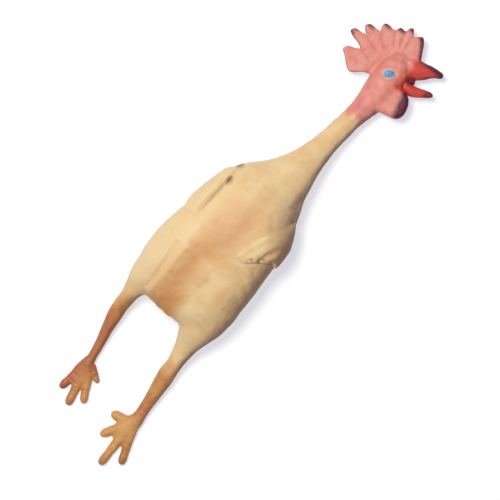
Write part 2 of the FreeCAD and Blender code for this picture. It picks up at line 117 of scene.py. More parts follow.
class Graph:
    """A material's node tree, with places in millimetres as x, y and z, and the normal's share to the right and
    upwards as right and up. Painted pieces read both from attributes, so that the paint bends with the skin."""

    def __init__(self, name: str, bends: bool = False) -> None:
        """Starts a material.

        Args:
            name: The material's name.
            bends: Whether it reads the places and normals that a painted piece remembers, not the object's own.
        """
        self.material = bpy.data.materials.new(name)
        self.material.use_nodes = True
        self.material.node_tree.nodes.clear()
        if bends:
            self.place = self.node("ShaderNodeAttribute", {"attribute_name": PLACE}, output="Vector")
            facing = self.node("ShaderNodeAttribute", {"attribute_name": FACING}, output="Vector")
        else:
            self.place = self.node("ShaderNodeTexCoord", output="Object")
            facing = self.node("ShaderNodeNewGeometry", output="Normal")
        split = self.node("ShaderNodeSeparateXYZ", inputs={0: self.place}, output=None)
        self.x, self.y, self.z = [Value(self, out) * (1 / MM) for out in split.outputs]
        split = self.node("ShaderNodeSeparateXYZ", inputs={0: facing}, output=None)
        self.right, self.up = Value(self, split.outputs[0]), Value(self, split.outputs[2])

    def node(
        self,
        kind: str,
        settings: dict[str, object] | None = None,
        inputs: dict[int | str, object] | None = None,
        output: int | str | None = 0,
    ) -> bpy.types.NodeSocket | bpy.types.Node:
        """Adds any node.

        Args:
            kind: The node's type.
            settings: Its own settings, made first.
            inputs: Values or links for its sockets, by name or number.
            output: The output to return, or None for the node itself.

        Returns:
            The output socket, or the node.
        """
        made = self.material.node_tree.nodes.new(kind)
        for name, setting in (settings or {}).items():
            setattr(made, name, setting)
        for name, given in (inputs or {}).items():
            given = given.socket if isinstance(given, Value) else given
            if isinstance(given, bpy.types.NodeSocket):
                self.material.node_tree.links.new(given, made.inputs[name])
            else:
                made.inputs[name].default_value = given
        return made if output is None else made.outputs[output]

    def ramp(self, value: Value, low: float, high: float) -> Value:
        """A smooth step of a value.

        Args:
            value: What is stepped.
            low: Where the step is 0.
            high: Where it is 1, which may be below low.

        Returns:
            The step, from 0 to 1.
        """
        ends = (low, high, 0.0, 1.0) if low < high else (high, low, 1.0, 0.0)
        sockets = {0: value, 1: ends[0], 2: ends[1], 3: ends[2], 4: ends[3]}
        return Value(self, self.node("ShaderNodeMapRange", {"interpolation_type": "SMOOTHSTEP"}, sockets))

    def spot(self, x: float, y: float, half_x: float, half_y: float, soft: float = 0.6, turn: float = 0.0) -> Value:
        """A soft oval seen from above.

        Args:
            x: Its middle.
            y: Its middle.
            half_x: Its half width, where the step reaches 0.
            half_y: Its half height.
            soft: The share of that over which it fades.
            turn: Its turn, in degrees.

        Returns:
            1 in the middle and 0 outside.
        """
        cos, sin = math.cos(math.radians(turn)), math.sin(math.radians(turn))
        along = ((self.x - x) * cos + (self.y - y) * sin) * (1 / half_x)
        across = ((self.y - y) * cos - (self.x - x) * sin) * (1 / half_y)
        return self.ramp((along * along + across * across) ** 0.5, 1.0, 1.0 - soft)

    def spots(self, rows: Sequence[tuple[float, ...]]) -> Value:
        """Several soft ovals, of which the strongest counts.

        Args:
            rows: For each, its strength and then what spot asks for.

        Returns:
            The strongest at each place.
        """
        made = [self.spot(*row[1:]) * row[0] for row in rows]
        strongest = made[0]
        for other in made[1:]:
            strongest = strongest.at_least(other)
        return strongest

    def noise(self, size: float, detail: float = 3.0, rough: float = 0.55) -> Value:
        """Cloudy noise.

        Args:
            size: The size of its patches.
            detail: How many finer layers it has.
            rough: How strong they are.

        Returns:
            Noise about 0.5.
        """
        sockets = {"Vector": self.place, "Scale": 1 / (size * MM), "Detail": detail, "Roughness": rough}
        return Value(self, self.node("ShaderNodeTexNoise", inputs=sockets))

    def pores(self, size: float) -> Value:
        """Small rounded pimples.

        Args:
            size: The distance between them.

        Returns:
            The distance from the nearest one, about 0 to 1.
        """
        sockets = {"Vector": self.place, "Scale": 1 / (size * MM)}
        return Value(self, self.node("ShaderNodeTexVoronoi", {"feature": "SMOOTH_F1"}, sockets, "Distance"))

    def mix(self, factor: object, under: object, over: object) -> bpy.types.NodeSocket:
        """Lays one colour over another.

        Args:
            factor: How much of the upper colour shows.
            under: The lower colour.
            over: The upper colour.

        Returns:
            The mixed colour.
        """
        settings = {"data_type": "RGBA", "blend_type": "MIX", "clamp_factor": True}
        return self.node("ShaderNodeMix", settings, {0: factor, 6: under, 7: over}, 2)

    def surface(
        self,
        colour: object,
        roughness: object,
        height: Value | None = None,
        depth: float = 0.1,
        soft: float = 0.0,
        radius: tuple[float, float, float] = (3.0, 1.5, 0.8),
        specular: float = 0.5,
        coat: float = 0.0,
        glow: float = 0.0,
    ) -> bpy.types.Material:
        """Finishes the material.

        Args:
            colour: The base colour.
            roughness: The roughness.
            height: The relief, from 0 to 1.
            depth: How deep that relief is.
            soft: The share of light that goes under the surface.
            radius: How far each of its colours goes.
            specular: The strength of its plain gloss.
            coat: The strength of its clear coat.
            glow: The strength of its own faint light, as of a sheet that is lit from behind.

        Returns:
            The material.
        """
        sockets = {
            "Base Color": colour,
            "Roughness": roughness,
            "Subsurface Weight": soft,
            "Subsurface Radius": [r * MM for r in radius],
            "Subsurface Scale": 1.0,
            "Specular IOR Level": specular,
            "Coat Weight": coat,
            "Coat Roughness": 0.3,
            "Emission Color": paint("F3F6FF"),
            "Emission Strength": glow,
        }
        if height is not None:
            bumps = {"Height": height, "Distance": depth * MM, "Strength": 1.0}
            sockets["Normal"] = self.node("ShaderNodeBump", inputs=bumps)
        shader = self.node("ShaderNodeBsdfPrincipled", inputs=sockets)
        self.node("ShaderNodeOutputMaterial", inputs={"Surface": shader}, output=None)
        return self.material


def paint(code: str) -> tuple[float, float, float, float]:
    """A colour as shaders want it.

    Args:
        code: Six hexadecimal digits, as a paint is matched.

    Returns:
        Linear red, green and blue, and an alpha of 1.
    """
    shares = [int(code[i : i + 2], 16) / 255 for i in (0, 2, 4)]
    linear = [s / 12.92 if s <= 0.04045 else ((s + 0.055) / 1.055) ** 2.4 for s in shares]
    return (*linear, 1.0)


@dataclass(frozen=True)
class PaintedLatex:
    """Moulded latex, sprayed in soft-edged patches: yellow skin, orange belly, brown legs, red head and beak, with
    painted shade and painted highlight over them.
    """

    pale: str = "EBD1A2"
    skin: str = "E3BC88"
    # The breast's tan paint, also used as painted shade in the groove by the left thigh.
    tan_and_groove_shade: str = "D9A878"
    # Painted highlight on the ridge by the left thigh.
    ridge_highlight: str = "EBB98C"
    belly: str = "D0965C"
    # Painted shade in creases, pits and notches; the same brown also streaks the legs.
    crease_shade_and_streak: str = "8E6238"
    # Painted shade: the dark brown laid where the skin faces away from the lamp.
    painted_side_shade: str = "7C4A2E"
    # Painted shade on the legs' inner sides; also the brown of the toe ends.
    leg_shade_and_toe_end: str = "7A4024"
    left_shank: str = "B2643A"
    right_shank: str = "C98C50"
    foot: str = "D8A562"
    toe_tip: str = "A5713C"
    salmon: str = "E09286"
    coral: str = "D98072"
    rose: str = "CC6E7E"
    cheek: str = "DA8A62"
    lid: str = "E3B4B4"
    scarlet: str = "CE4438"
    # Deep red rim paint, darkened to maroon as painted shade on the edges and sides that face away from the lamp.
    maroon_paint_and_shade: str = "5C0A2A"
    # Painted shade: dark spots in the pits and creases by the wings, and in the hollow between the right shoulder and
    # wing.
    wing_pit_shades: tuple[tuple[float, ...], ...] = (
        (1.0, -43, 32, 4, 6.8, 0.8), (0.7, 26, -13.5, 3.5, 2.6, 0.9), (0.6, 35, -6, 3, 2.6, 0.9),
        (0.8, 32, 50, 17, 7, 1.0, -62),
    )
    # Painted shade along the left wing's crease.
    left_fold_shade: tuple[float, ...] = (-44, 16, 3.4, 38, 0.9)
    # Painted shade: soft dark patches along the right shoulder, which turns away from the lamp.
    shoulder_painted_shades: tuple[tuple[float, ...], ...] = (
        (0.52, 36, 33, 29, 40, 1.0, 24), (0.95, 47, 28, 18, 50, 1.0, 24),
    )
    rust_patches: tuple[tuple[float, ...], ...] = (
        (1.0, 58, -244, 8, 20, 0.6, 22), (1.0, 43, -196, 12, 18, 0.8), (0.7, 45.5, -264, 7, 12, 0.8),
        (0.8, -34, -222, 6, 18, 0.8),
    )
    toe_ends: tuple[tuple[float, ...], ...] = (
        (1.0, 63, -254, 7, 9, 1.0), (1.0, -16, -243, 7, 8, 1.0), (1.0, -32, -236, 7, 8, 1.0),
    )
    # Where the comb's spike tips are darkened: dark paint, with painted shade on their right-facing walls.
    comb_tip_paint_and_shade: tuple[tuple[float, float], ...] = (
        (-49, 224), (-49, 231), (-38, 242.5), (-25, 253.5), (-12, 259.5), (-3, 266.5), (10, 266),
    )

    def skin_colour(self, g: Graph) -> bpy.types.NodeSocket:
        """The body's colours, with painted shade and painted highlight.

        Args:
            g: The material's graph.

        Returns:
            The colour.
        """
        cloud = g.noise(38, 3)
        wisp = g.noise(9, 4)
        top = g.ramp(g.up, 0.1, 0.7)
        colour = g.mix(g.ramp(cloud + wisp * 0.4, 0.5, 0.95), paint(self.skin), paint(self.pale))
        # Painted highlight: the left flank, which faces the lamp, is paler.
        flank = g.ramp(g.x, -26, -40) * g.ramp(g.y, -118, -96) * g.ramp(g.y, 60, 20)
        colour = g.mix(flank * 0.65, colour, paint(self.pale))
        breast = g.spot(-7, 4, 24, 48, 0.9) * top
        colour = g.mix(breast * (0.5 + wisp * 0.5), colour, paint(self.tan_and_groove_shade))
        drift = g.x + (cloud - 0.5) * 26 + (wisp - 0.5) * 9
        band = g.ramp(drift, -38, -18) * g.ramp(drift, 18, -10) * g.ramp(g.y + drift * 0.5, 26, -34) * top
        colour = g.mix(band * (0.3 + wisp * 0.75), colour, paint(self.belly))
        deep = g.ramp(drift, -32, -22) * g.ramp(drift, -4, -15) * g.ramp(g.y, -2, -40) * top
        colour = g.mix(deep * (wisp * 0.7), colour, paint(self.belly))
        # Painted shade in the groove by the left thigh, and a painted highlight on the ridge beside it.
        colour = g.mix(g.spot(-37.5, -80, 3.6, 36, 1.0, 6) * top * 0.55, colour, paint(self.tan_and_groove_shade))
        colour = g.mix(g.spot(-31.5, -82, 3.4, 34, 1.0, 4) * top * 0.6, colour, paint(self.ridge_highlight))
        vent = g.ramp(g.y, -100, -109) * g.ramp(g.x, -34, -22) * g.ramp(g.x, 16, 2)
        colour = g.mix(vent * 0.6, colour, paint(self.belly))
        # Painted shade in the notch where the left wing meets the breast.
        notch_shade = g.spot(-46, 50, 9, 5.5, 0.8, 24) * g.ramp(g.up, -0.1, 0.2)
        colour = g.mix(notch_shade * 0.85, colour, paint(self.crease_shade_and_streak))
        # Painted shade in the wing pits and along the left wing's crease.
        pits = g.spots(self.wing_pit_shades).at_least(g.spot(*self.left_fold_shade) * (0.3 + wisp * 0.5))
        colour = g.mix(pits * top * 0.85, colour, paint(self.crease_shade_and_streak))
        # Painted shade along the right shoulder.
        colour = g.mix(g.spots(self.shoulder_painted_shades), colour, paint(self.painted_side_shade))
        # Painted shade: darker brown on every surface that faces right, away from the lamp.
        painted_side_shade = g.ramp(g.right + (wisp - 0.5) * 0.07, 0.5, 0.94)
        return g.mix(painted_side_shade * 0.9, colour, paint(self.painted_side_shade))

    def leg_colour(self, g: Graph, colour: bpy.types.NodeSocket) -> bpy.types.NodeSocket:
        """Lays the legs' and feet's browns over the skin, with painted shade on the legs' inner sides.

        Args:
            g: The material's graph.
            colour: The colour below.

        Returns:
            The colour.
        """
        streak = g.noise(5, 4)
        wander = (g.noise(12, 2) - 0.5) * 22
        left = g.ramp(g.x, 6, -6)
        slope = g.y + wander * 0.8 - (g.x + 42) * 0.9
        shank = g.ramp(slope, -108, -138) * left + g.ramp(g.y + wander, -134, -160) * (1 - left)
        reddish = g.ramp(g.y + wander, -124, -160) * left
        brown = g.mix(reddish, paint(self.right_shank), paint(self.left_shank))
        # Streaks in the legs' brown, in the colour that also paints the crease shade.
        brown = g.mix(g.ramp(streak, 0.42, 0.72) * 0.45, brown, paint(self.crease_shade_and_streak))
        colour = g.mix(shank * 0.92, colour, brown)
        # Painted shade: darker brown on the legs' sides that face right, away from the lamp, and on the left leg's
        # inner side.
        inner_side_shade = g.ramp(g.right, 0.1, 0.85) * g.ramp(g.y, -112, -128)
        inner_side_shade = inner_side_shade.at_least(g.spot(-38, -130, 8, 22, 0.9) * 0.8)
        colour = g.mix(inner_side_shade * 0.5, colour, paint(self.leg_shade_and_toe_end))
        foot = g.ramp(g.y, -196, -214) * left * g.ramp(g.x, -34, -18) + g.ramp(g.y, -206, -222) * (1 - left)
        colour = g.mix(foot * (0.55 + wander * 0.02), colour, paint(self.foot))
        tips = g.ramp(g.y + streak * 8, -234, -246) * left + g.ramp(g.y + streak * 8, -252, -268) * (1 - left)
        colour = g.mix(tips * 0.5, colour, paint(self.toe_tip))
        rust = g.spots(self.rust_patches)
        colour = g.mix(rust * (0.3 + streak * 0.5), colour, paint(self.left_shank))
        return g.mix(g.spots(self.toe_ends) * 0.45, colour, paint(self.leg_shade_and_toe_end))

    def head_colour(self, g: Graph, colour: bpy.types.NodeSocket) -> bpy.types.NodeSocket:
        """Lays the head's reds over the skin, with painted shade on the edges and sides that face away from the lamp.

        Args:
            g: The material's graph.
            colour: The colour below.

        Returns:
            The colour.
        """
        wisp = g.noise(7, 4)
        edge = g.y + (wisp - 0.5) * 16
        red = g.mix(g.ramp(wisp, 0.35, 0.75), paint(self.salmon), paint(self.coral))
        red = g.mix(g.spot(8, 173, 7, 12, 0.9, 12) * 0.55, red, paint(self.rose))
        cheek = g.spot(20, 208, 12, 8, 0.9) * 0.35
        red = g.mix(cheek, red, paint(self.cheek))
        beak = g.ramp(g.x + (wisp - 0.5) * 6, 16, 24) * g.ramp(g.y, 207, 213)
        beak = beak * g.ramp(g.y - g.x * 0.2, 252, 247)
        red = g.mix(beak * 0.95, red, paint(self.scarlet))
        # The comb's sideways and downward faces: deep red rim paint, darkened to maroon as painted shade.
        rim = g.ramp(g.up, 0.72, 0.1) * g.ramp(g.z, 9, 13)
        spikes = rim * g.ramp(g.y, 188, 196) * g.ramp(g.x, -4, -12).at_least(g.ramp(g.y, 246, 252))
        red = g.mix(spikes * 0.62, red, paint(self.maroon_paint_and_shade))
        # Painted shade: the comb's front edge, which faces away from the lamp.
        comb_front_shade = g.ramp((g.x - 17) * 0.82 + (g.y - 258) * 0.57, -5.5, -1)
        comb_front_shade = comb_front_shade * g.ramp(g.y, 244, 250) * g.ramp(g.x, 4, 9)
        red = g.mix(comb_front_shade * 0.92, red, paint(self.maroon_paint_and_shade))
        # Dark paint at the comb's spike tips, with painted shade on their right-facing walls.
        for x, y in self.comb_tip_paint_and_shade:
            red = g.mix(g.spot(x, y, 8.5, 5.5, 0.9, -10) * (0.5 + wisp * 0.9), red, paint(self.maroon_paint_and_shade))
        # The wattle's rounded right edge: deep red rim paint, with painted shade as it faces away from the lamp.
        wattle_edge_paint_and_shade = g.ramp(g.x + (g.y - 200) * 0.32 + (wisp - 0.5) * 5, 30, 38)
        wattle_edge_paint_and_shade = wattle_edge_paint_and_shade * g.ramp(g.y, 178, 188) * g.ramp(g.y, 217, 211)
        red = g.mix(wattle_edge_paint_and_shade, red, paint(self.maroon_paint_and_shade))
        # Painted shade on the beak's upper edge and tip, which turn from the lamp; the open mouth is darker too.
        beak_edge_shade_and_dark_mouth = g.ramp(g.y - g.x * 0.12, 244.2, 246.6) * g.ramp(g.x, 22, 27)
        beak_edge_shade_and_dark_mouth = beak_edge_shade_and_dark_mouth.at_least(g.ramp(g.x, 45, 50) * 0.9).at_least(g.spot(30, 226.5, 8, 6, 0.6, 20))
        beak_edge_shade_and_dark_mouth = beak_edge_shade_and_dark_mouth.at_least(g.ramp(g.x, 15, 21) * g.ramp(g.y + g.x, 270, 276) * g.ramp(g.up, 0.9, 0.4))
        red = g.mix(beak_edge_shade_and_dark_mouth * 0.9, red, paint(self.maroon_paint_and_shade))
        # Painted shade: maroon on every surface of the head that faces right, away from the lamp.
        under = g.ramp(g.right + (wisp - 0.5) * 0.2, 0.5, 0.92)
        red = g.mix(under * 0.75, red, paint(self.maroon_paint_and_shade))
        lid = g.spot(8, 217, 9.2, 6.8, 0.35, 40)
        red = g.mix(lid * 0.5, red, paint(self.lid))
        return g.mix(g.ramp(edge, 153, 169), colour, red)

    def material(self) -> bpy.types.Material:
        """Builds the finish.

        Returns:
            The material.
        """
        g = Graph("painted_latex", bends=True)
        colour = self.head_colour(g, self.leg_colour(g, self.skin_colour(g)))
        grain = g.noise(0.9, 2) * 0.35 + g.pores(2.6) * 0.4 + g.noise(4.5, 3) * 0.6
        return g.surface(colour, 0.42 + g.noise(14, 3) * 0.2, grain, 0.35, soft=0.12, specular=0.42)


@dataclass(frozen=True)
class EyePaint:
    """Blue eye paint, darker in cloudy patches, which pales towards its edge."""

    blue: str = "5F9FD0"
    deep: str = "3F78A8"
    edge: str = "A9C3D6"

    def material(self) -> bpy.types.Material:
        """Builds the finish.

        Returns:
            The material.
        """
        g = Graph("eye_paint", bends=True)
        body = g.mix(g.ramp(g.noise(3, 2), 0.35, 0.7), paint(self.blue), paint(self.deep))
        colour = g.mix(g.spot(8, 217, 6.4, 4.4, 0.45, 40), paint(self.edge), body)
        return g.surface(colour, 0.42 + g.noise(3, 2) * 0.1, g.noise(1.2, 2), 0.08, soft=0.05, coat=0.1)


@dataclass(frozen=True)
class FoamCrumb:
    """Torn crumbs of upholstery foam, pressed together."""

    light: str = "E9DDAE"
    dark: str = "B9A56C"

    def material(self) -> bpy.types.Material:
        """Builds the finish.

        Returns:
            The material.
        """
        g = Graph("foam_crumb", bends=True)
        crumbs = g.pores(7)
        colour = g.mix(g.ramp(crumbs, 0.2, 0.7), paint(self.light), paint(self.dark))
        return g.surface(colour, 0.85 + g.noise(5, 2) * 0.1, 1 - crumbs, 1.5, specular=0.2)


@dataclass(frozen=True)
class PouredLatex:
    """Unpainted latex, poured and smoothed by hand."""

    colour: str = "DCBF8C"
    shade: str = "BD9358"

    def material(self) -> bpy.types.Material:
        """Builds the finish.

        Returns:
            The material.
        """
        g = Graph("poured_latex")
        colour = g.mix(g.ramp(g.noise(6, 3), 0.4, 0.7), paint(self.colour), paint(self.shade))
        return g.surface(colour, 0.4 + g.noise(4, 2) * 0.2, g.noise(2.5, 3), 0.3, soft=0.1)


@dataclass(frozen=True)
class TablePaper:
    """The matt sheet that it lies on, a light table that keeps the shadows faint."""

    white: str = "BCBCBC"
    glow: float = 0.62

    def material(self) -> bpy.types.Material:
        """Builds the finish.

        Returns:
            The material.
        """
        g = Graph("table_paper")
        return g.surface(paint(self.white), 0.9, g.noise(1.0, 2), 0.02, specular=0.1, glow=self.glow)


class Finish(Enum):
    """The finishes, by what they are put on."""

    LATEX = PaintedLatex()
    EYE = EyePaint()
    FOAM = FoamCrumb()
    PLUG = PouredLatex()
    TABLE = TablePaper()


class Paints:
    """Makes each finish's material once."""

    def __init__(self) -> None:
        """Starts with none made."""
        self.made: dict[Finish, bpy.types.Material] = {}

    def on(self, obj: bpy.types.Object, finish: Finish) -> None:
        """Puts a finish on all of an object.

        Args:
            obj: The object.
            finish: The finish.
        """
        if finish not in self.made:
            self.made[finish] = finish.value.material()
        obj.data.materials.clear()
        obj.data.materials.append(self.made[finish])


# ---------------------------------------------------------------- modelling


@dataclass(frozen=True)
class Ring:
    """A cross-section of a limb: its middle, its half width in plan, its half depth, and how square it is."""

    x: float
    y: float
    z: float
    wide: float
    deep: float
    square: float = 2.0

    def slimmer(self, inset: float) -> Ring:
        """The same section of what fills it.

        Args:
            inset: How far inside the skin that is.

        Returns:
            The smaller section.
        """
        wide, deep = max(self.wide - inset, 0.4), max(self.deep - inset, 0.4)
        return Ring(self.x, self.y, self.z, wide, deep, self.square)

    def values(self) -> tuple[float, ...]:
        """Its numbers, in order."""
        return (self.x, self.y, self.z, self.wide, self.deep, self.square)


def through(points: Sequence[Sequence[float]], step: float, closed: bool = False) -> np.ndarray:
    """Rows of numbers along a smooth line through some others.

    Args:
        points: The rows that it passes through, the first two numbers being a place in plan.
        step: The distance between the rows that it gives.
        closed: Whether it goes round.

    Returns:
        The rows.
    """
    given = np.array(points, float)
    if closed:
        given = np.vstack([given[-2:], given, given[:3]])
    gaps = np.linalg.norm(np.diff(given[:, :3], axis=0), axis=1).clip(0.1)
    stops = np.concatenate([[0.0], np.cumsum(gaps)])
    slopes = np.gradient(given, stops, axis=0)
    first, last = (2, len(given) - 3) if closed else (0, len(given) - 1)
    rows = []
    for i in range(first, last):
        count = max(1, round(gaps[i] / step))
        for part in np.arange(count) / count:
            a, b = part * part * (3 - 2 * part), part * (1 - part)
            bend = b * (1 - part) * slopes[i] - b * part * slopes[i + 1]
            rows.append(given[i] * (1 - a) + given[i + 1] * a + bend * gaps[i])
    if not closed:
        rows.append(given[-1])
    return np.array(rows)


class Mould:
    """A closed form that grows limb by limb and lobe by lobe, in millimetres."""

    def __init__(self) -> None:
        """Starts empty."""
        self.bm = bmesh.new()
        self.turn = self.bm.verts.layers.float.new("turn")

    def limb(self, rings: Sequence[Ring], step: float = 3.0, face_on: bool = False, sides: int = 48) -> None:
        """Adds a closed tube through some cross-sections.

        Args:
            rings: The sections, in order.
            step: How far apart the sections between them are.
            face_on: Whether all face along Y, instead of along the limb.
            sides: How many sides the tube has.
        """
        rows = through([ring.values() for ring in rings], step)
        heading = np.gradient(rows[:, :2], axis=0)
        loop = self.circle(sides)
        verts = self.in_order(loop)
        for number, row in enumerate(rows):
            if number:
                verts, loop = self.grow(loop)
            along = Vector((0, 1, 0)) if face_on else Vector((*heading[number], 0)).normalized()
            self._lay(verts, row, along)
            if number in (0, len(rows) - 1):
                bmesh.ops.contextual_create(self.bm, geom=loop)

    def circle(self, sides: int) -> list[bmesh.types.BMEdge]:
        """Adds a circle whose corners remember how far round they are.

        Args:
            sides: How many sides it has.

        Returns:
            Its edges.
        """
        verts = bmesh.ops.create_circle(self.bm, radius=1.0, segments=sides)["verts"]
        for vert in verts:
            vert[self.turn] = math.atan2(vert.co.y, vert.co.x)
        return list({edge for vert in verts for edge in vert.link_edges})

    def grow(self, loop: Sequence[bmesh.types.BMEdge]) -> tuple[list[bmesh.types.BMVert], list[bmesh.types.BMEdge]]:
        """Extrudes a circle of edges once.

        Args:
            loop: Its edges.

        Returns:
            The new circle's corners and edges, which lie on the old ones.
        """
        grown = bmesh.ops.extrude_edge_only(self.bm, edges=loop)["geom"]
        verts = [item for item in grown if isinstance(item, bmesh.types.BMVert)]
        edges = [item for item in grown if isinstance(item, bmesh.types.BMEdge)]
        fresh = set(verts)
        return verts, [edge for edge in edges if edge.verts[0] in fresh and edge.verts[1] in fresh]

    def in_order(self, loop: Sequence[bmesh.types.BMEdge]) -> list[bmesh.types.BMVert]:
        """A circle's corners, in order round it.

        Args:
            loop: Its edges.

        Returns:
            Its corners.
        """
        return sorted({vert for edge in loop for vert in edge.verts}, key=lambda vert: vert[self.turn])

    def _lay(self, verts: Sequence[bmesh.types.BMVert], row: Sequence[float], along: Vector) -> None:
        """Puts a circle's corners on a section.

        Args:
            verts: The corners.
            row: The section's numbers.
            along: Which way it faces.
        """
        x, y, z, wide, deep, square = row
        across = Vector((along.y, -along.x, 0))
        for vert in verts:
            cos, sin = math.cos(vert[self.turn]), math.sin(vert[self.turn])
            side = math.copysign(abs(cos) ** (2 / square), cos) * wide
            rise = math.copysign(abs(sin) ** (2 / square), sin) * deep
            vert.co = Vector((x, y, z)) + across * side + Vector((0, 0, rise))

    def lobe(self, outline: Sequence[tuple[float, float]], low: float, high: float, round_off: float) -> None:
        """Adds a flat lobe with rounded rims.

        Args:
            outline: Points in plan that its smooth outline passes through.
            low: Its lower face.
            high: Its upper face.
            round_off: How far its rims are rounded.
        """
        edge = through(outline, 1.6, closed=True)
        loop = self.circle(len(edge))
        corners = self.in_order(loop)
        for vert, (x, y) in zip(corners, edge):
            vert.co = (x, y, low)
        face = bmesh.ops.contextual_create(self.bm, geom=loop)["faces"][0]
        grown = bmesh.ops.extrude_face_region(self.bm, geom=[face])["geom"]
        top = [vert for vert in grown if isinstance(vert, bmesh.types.BMVert)]
        bmesh.ops.translate(self.bm, vec=(0, 0, high - low), verts=top)
        level = [e for v in corners + top for e in v.link_edges if abs(e.verts[0].co.z - e.verts[1].co.z) < 0.01]
        rims = list(dict.fromkeys(level))
        settings = {"affect": "EDGES", "segments": 3, "profile": 0.5, "material": -1, "clamp_overlap": True}
        bmesh.ops.bevel(self.bm, geom=rims, offset=round_off, **settings)

    def pour(self, name: str, voxel: float, smooth: int) -> bpy.types.Object:
        """Turns the form into one closed skin.

        Args:
            name: The object's name.
            voxel: The size of the skin's faces.
            smooth: How many times it is smoothed.

        Returns:
            The object, in metres.
        """
        bmesh.ops.recalc_face_normals(self.bm, faces=self.bm.faces)
        bmesh.ops.scale(self.bm, vec=(MM, MM, MM), verts=self.bm.verts)
        return remeshed(as_object(self.bm, name), voxel, smooth)

    def take(self, other: bpy.types.Object) -> None:
        """Adds a poured form to this one, and removes it.

        Args:
            other: The poured form.
        """
        before = len(self.bm.verts)
        self.bm.from_mesh(other.data)
        self.bm.verts.ensure_lookup_table()
        bmesh.ops.scale(self.bm, vec=(1 / MM,) * 3, verts=self.bm.verts[before:])
        self.turn = self.bm.verts.layers.float["turn"]
        discard(other)


def as_object(bm: bmesh.types.BMesh, name: str) -> bpy.types.Object:
    """Makes an object of a bmesh, and frees it.

    Args:
        bm: The bmesh.
        name: The object's name.

    Returns:
        The object.
    """
    mesh = bpy.data.meshes.new(name)
    bm.to_mesh(mesh)
    bm.free()
    obj = bpy.data.objects.new(name, mesh)
    bpy.context.scene.collection.objects.link(obj)
    return obj


def discard(obj: bpy.types.Object) -> None:
    """Removes an object and its mesh.

    Args:
        obj: The object.
    """
    mesh = obj.data
    bpy.data.objects.remove(obj)
    bpy.data.meshes.remove(mesh)


def remeshed(obj: bpy.types.Object, voxel: float, smooth: int) -> bpy.types.Object:
    """Rebuilds an object as one closed skin of even faces.

    Args:
        obj: The object, which is replaced.
        voxel: The size of the faces, in millimetres.
        smooth: How many times it is smoothed.

    Returns:
        The new object.
    """
    cover = obj.modifiers.new("cover", "REMESH")
    cover.mode = "VOXEL"
    cover.voxel_size = voxel * MM
    relax = obj.modifiers.new("relax", "SMOOTH")
    relax.factor = 0.5
    relax.iterations = smooth
    bpy.context.view_layer.update()
    shaped = obj.evaluated_get(bpy.context.evaluated_depsgraph_get())
    mesh = bpy.data.meshes.new_from_object(shaped)
    name = obj.name
    discard(obj)
    made = bpy.data.objects.new(name, mesh)
    bpy.context.scene.collection.objects.link(made)
    return made


@dataclass(frozen=True)
class Stroke:
    """A line pressed into the skin from above, or raised on it where its height is positive."""

    path: tuple[tuple[float, float], ...]
    width: float
    height: float
    from_below: bool = False

    def lift(self, at: np.ndarray, normals: np.ndarray) -> np.ndarray:
        """How far it moves each point along its normal.

        Args:
            at: The points, in millimetres.
            normals: Their normals.

        Returns:
            The distances.
        """
        nearest = np.full(len(at), 1e9)
        for start, end in zip(self.path, self.path[1:] or self.path):
            a, b = np.array(start), np.array(end)
            along = b - a
            share = ((at[:, :2] - a) @ along / max(along @ along, 1e-9)).clip(0, 1)
            nearest = np.minimum(nearest, np.linalg.norm(at[:, :2] - a - share[:, None] * along, axis=1))
        facing = -normals[:, 2] if self.from_below else normals[:, 2]
        return self.height * np.exp(-((nearest / self.width) ** 2)) * ((facing + 0.05) / 0.45).clip(0, 1)


def sculpt(obj: bpy.types.Object, strokes: Sequence[Stroke], ripple: float = 0.0, floor: float = 0.4) -> None:
    """Presses strokes and soft unevenness into a skin.

    Args:
        obj: The skin, in metres.
        strokes: The strokes.
        ripple: How far the unevenness goes.
        floor: How high above the table the lowest point may be.
    """
    mesh = obj.data
    at, normals = coordinates(mesh), facings(mesh)
    moved = sum((stroke.lift(at, normals) for stroke in strokes), np.zeros(len(at)))
    if ripple:
        cloud = [noise.noise(Vector(p) / 11) + 0.45 * noise.noise(Vector(p) / 4.3) for p in at]
        moved += ripple * np.array(cloud)
    at += normals * moved[:, None]
    at[:, 2] = np.where(at[:, 2] < floor, floor + (at[:, 2] - floor) * 0.02, at[:, 2])
    mesh.vertices.foreach_set("co", (at * MM).astype(np.float32).ravel())
    mesh.update()


def coordinates(mesh: bpy.types.Mesh) -> np.ndarray:
    """A mesh's points.

    Args:
        mesh: The mesh.

    Returns:
        Their places, in millimetres.
    """
    flat = np.zeros(len(mesh.vertices) * 3, np.float32)
    mesh.vertices.foreach_get("co", flat)
    return flat.reshape(-1, 3).astype(float) / MM


def facings(mesh: bpy.types.Mesh) -> np.ndarray:
    """A mesh's normals.

    Args:
        mesh: The mesh.

    Returns:
        The normals at its points.
    """
    flat = np.zeros(len(mesh.vertices) * 3, np.float32)
    mesh.vertex_normals.foreach_get("vector", flat)
    return flat.reshape(-1, 3).astype(float)


@dataclass(frozen=True)
class Cut:
    """A flat cut through the skin, which keeps what lies behind it as its direction points."""

    point: tuple[float, float, float]
    towards: tuple[float, float, float]

    def turned(self) -> Cut:
        """The cut that keeps the other side."""
        return Cut(self.point, tuple(-part for part in self.towards))


@dataclass(frozen=True)
class Bend:
    """How a stretch of skin bends between the bodies on either side of a joint."""

    near: str
    far: str
    start: tuple[float, float, float]
    end: tuple[float, float, float]


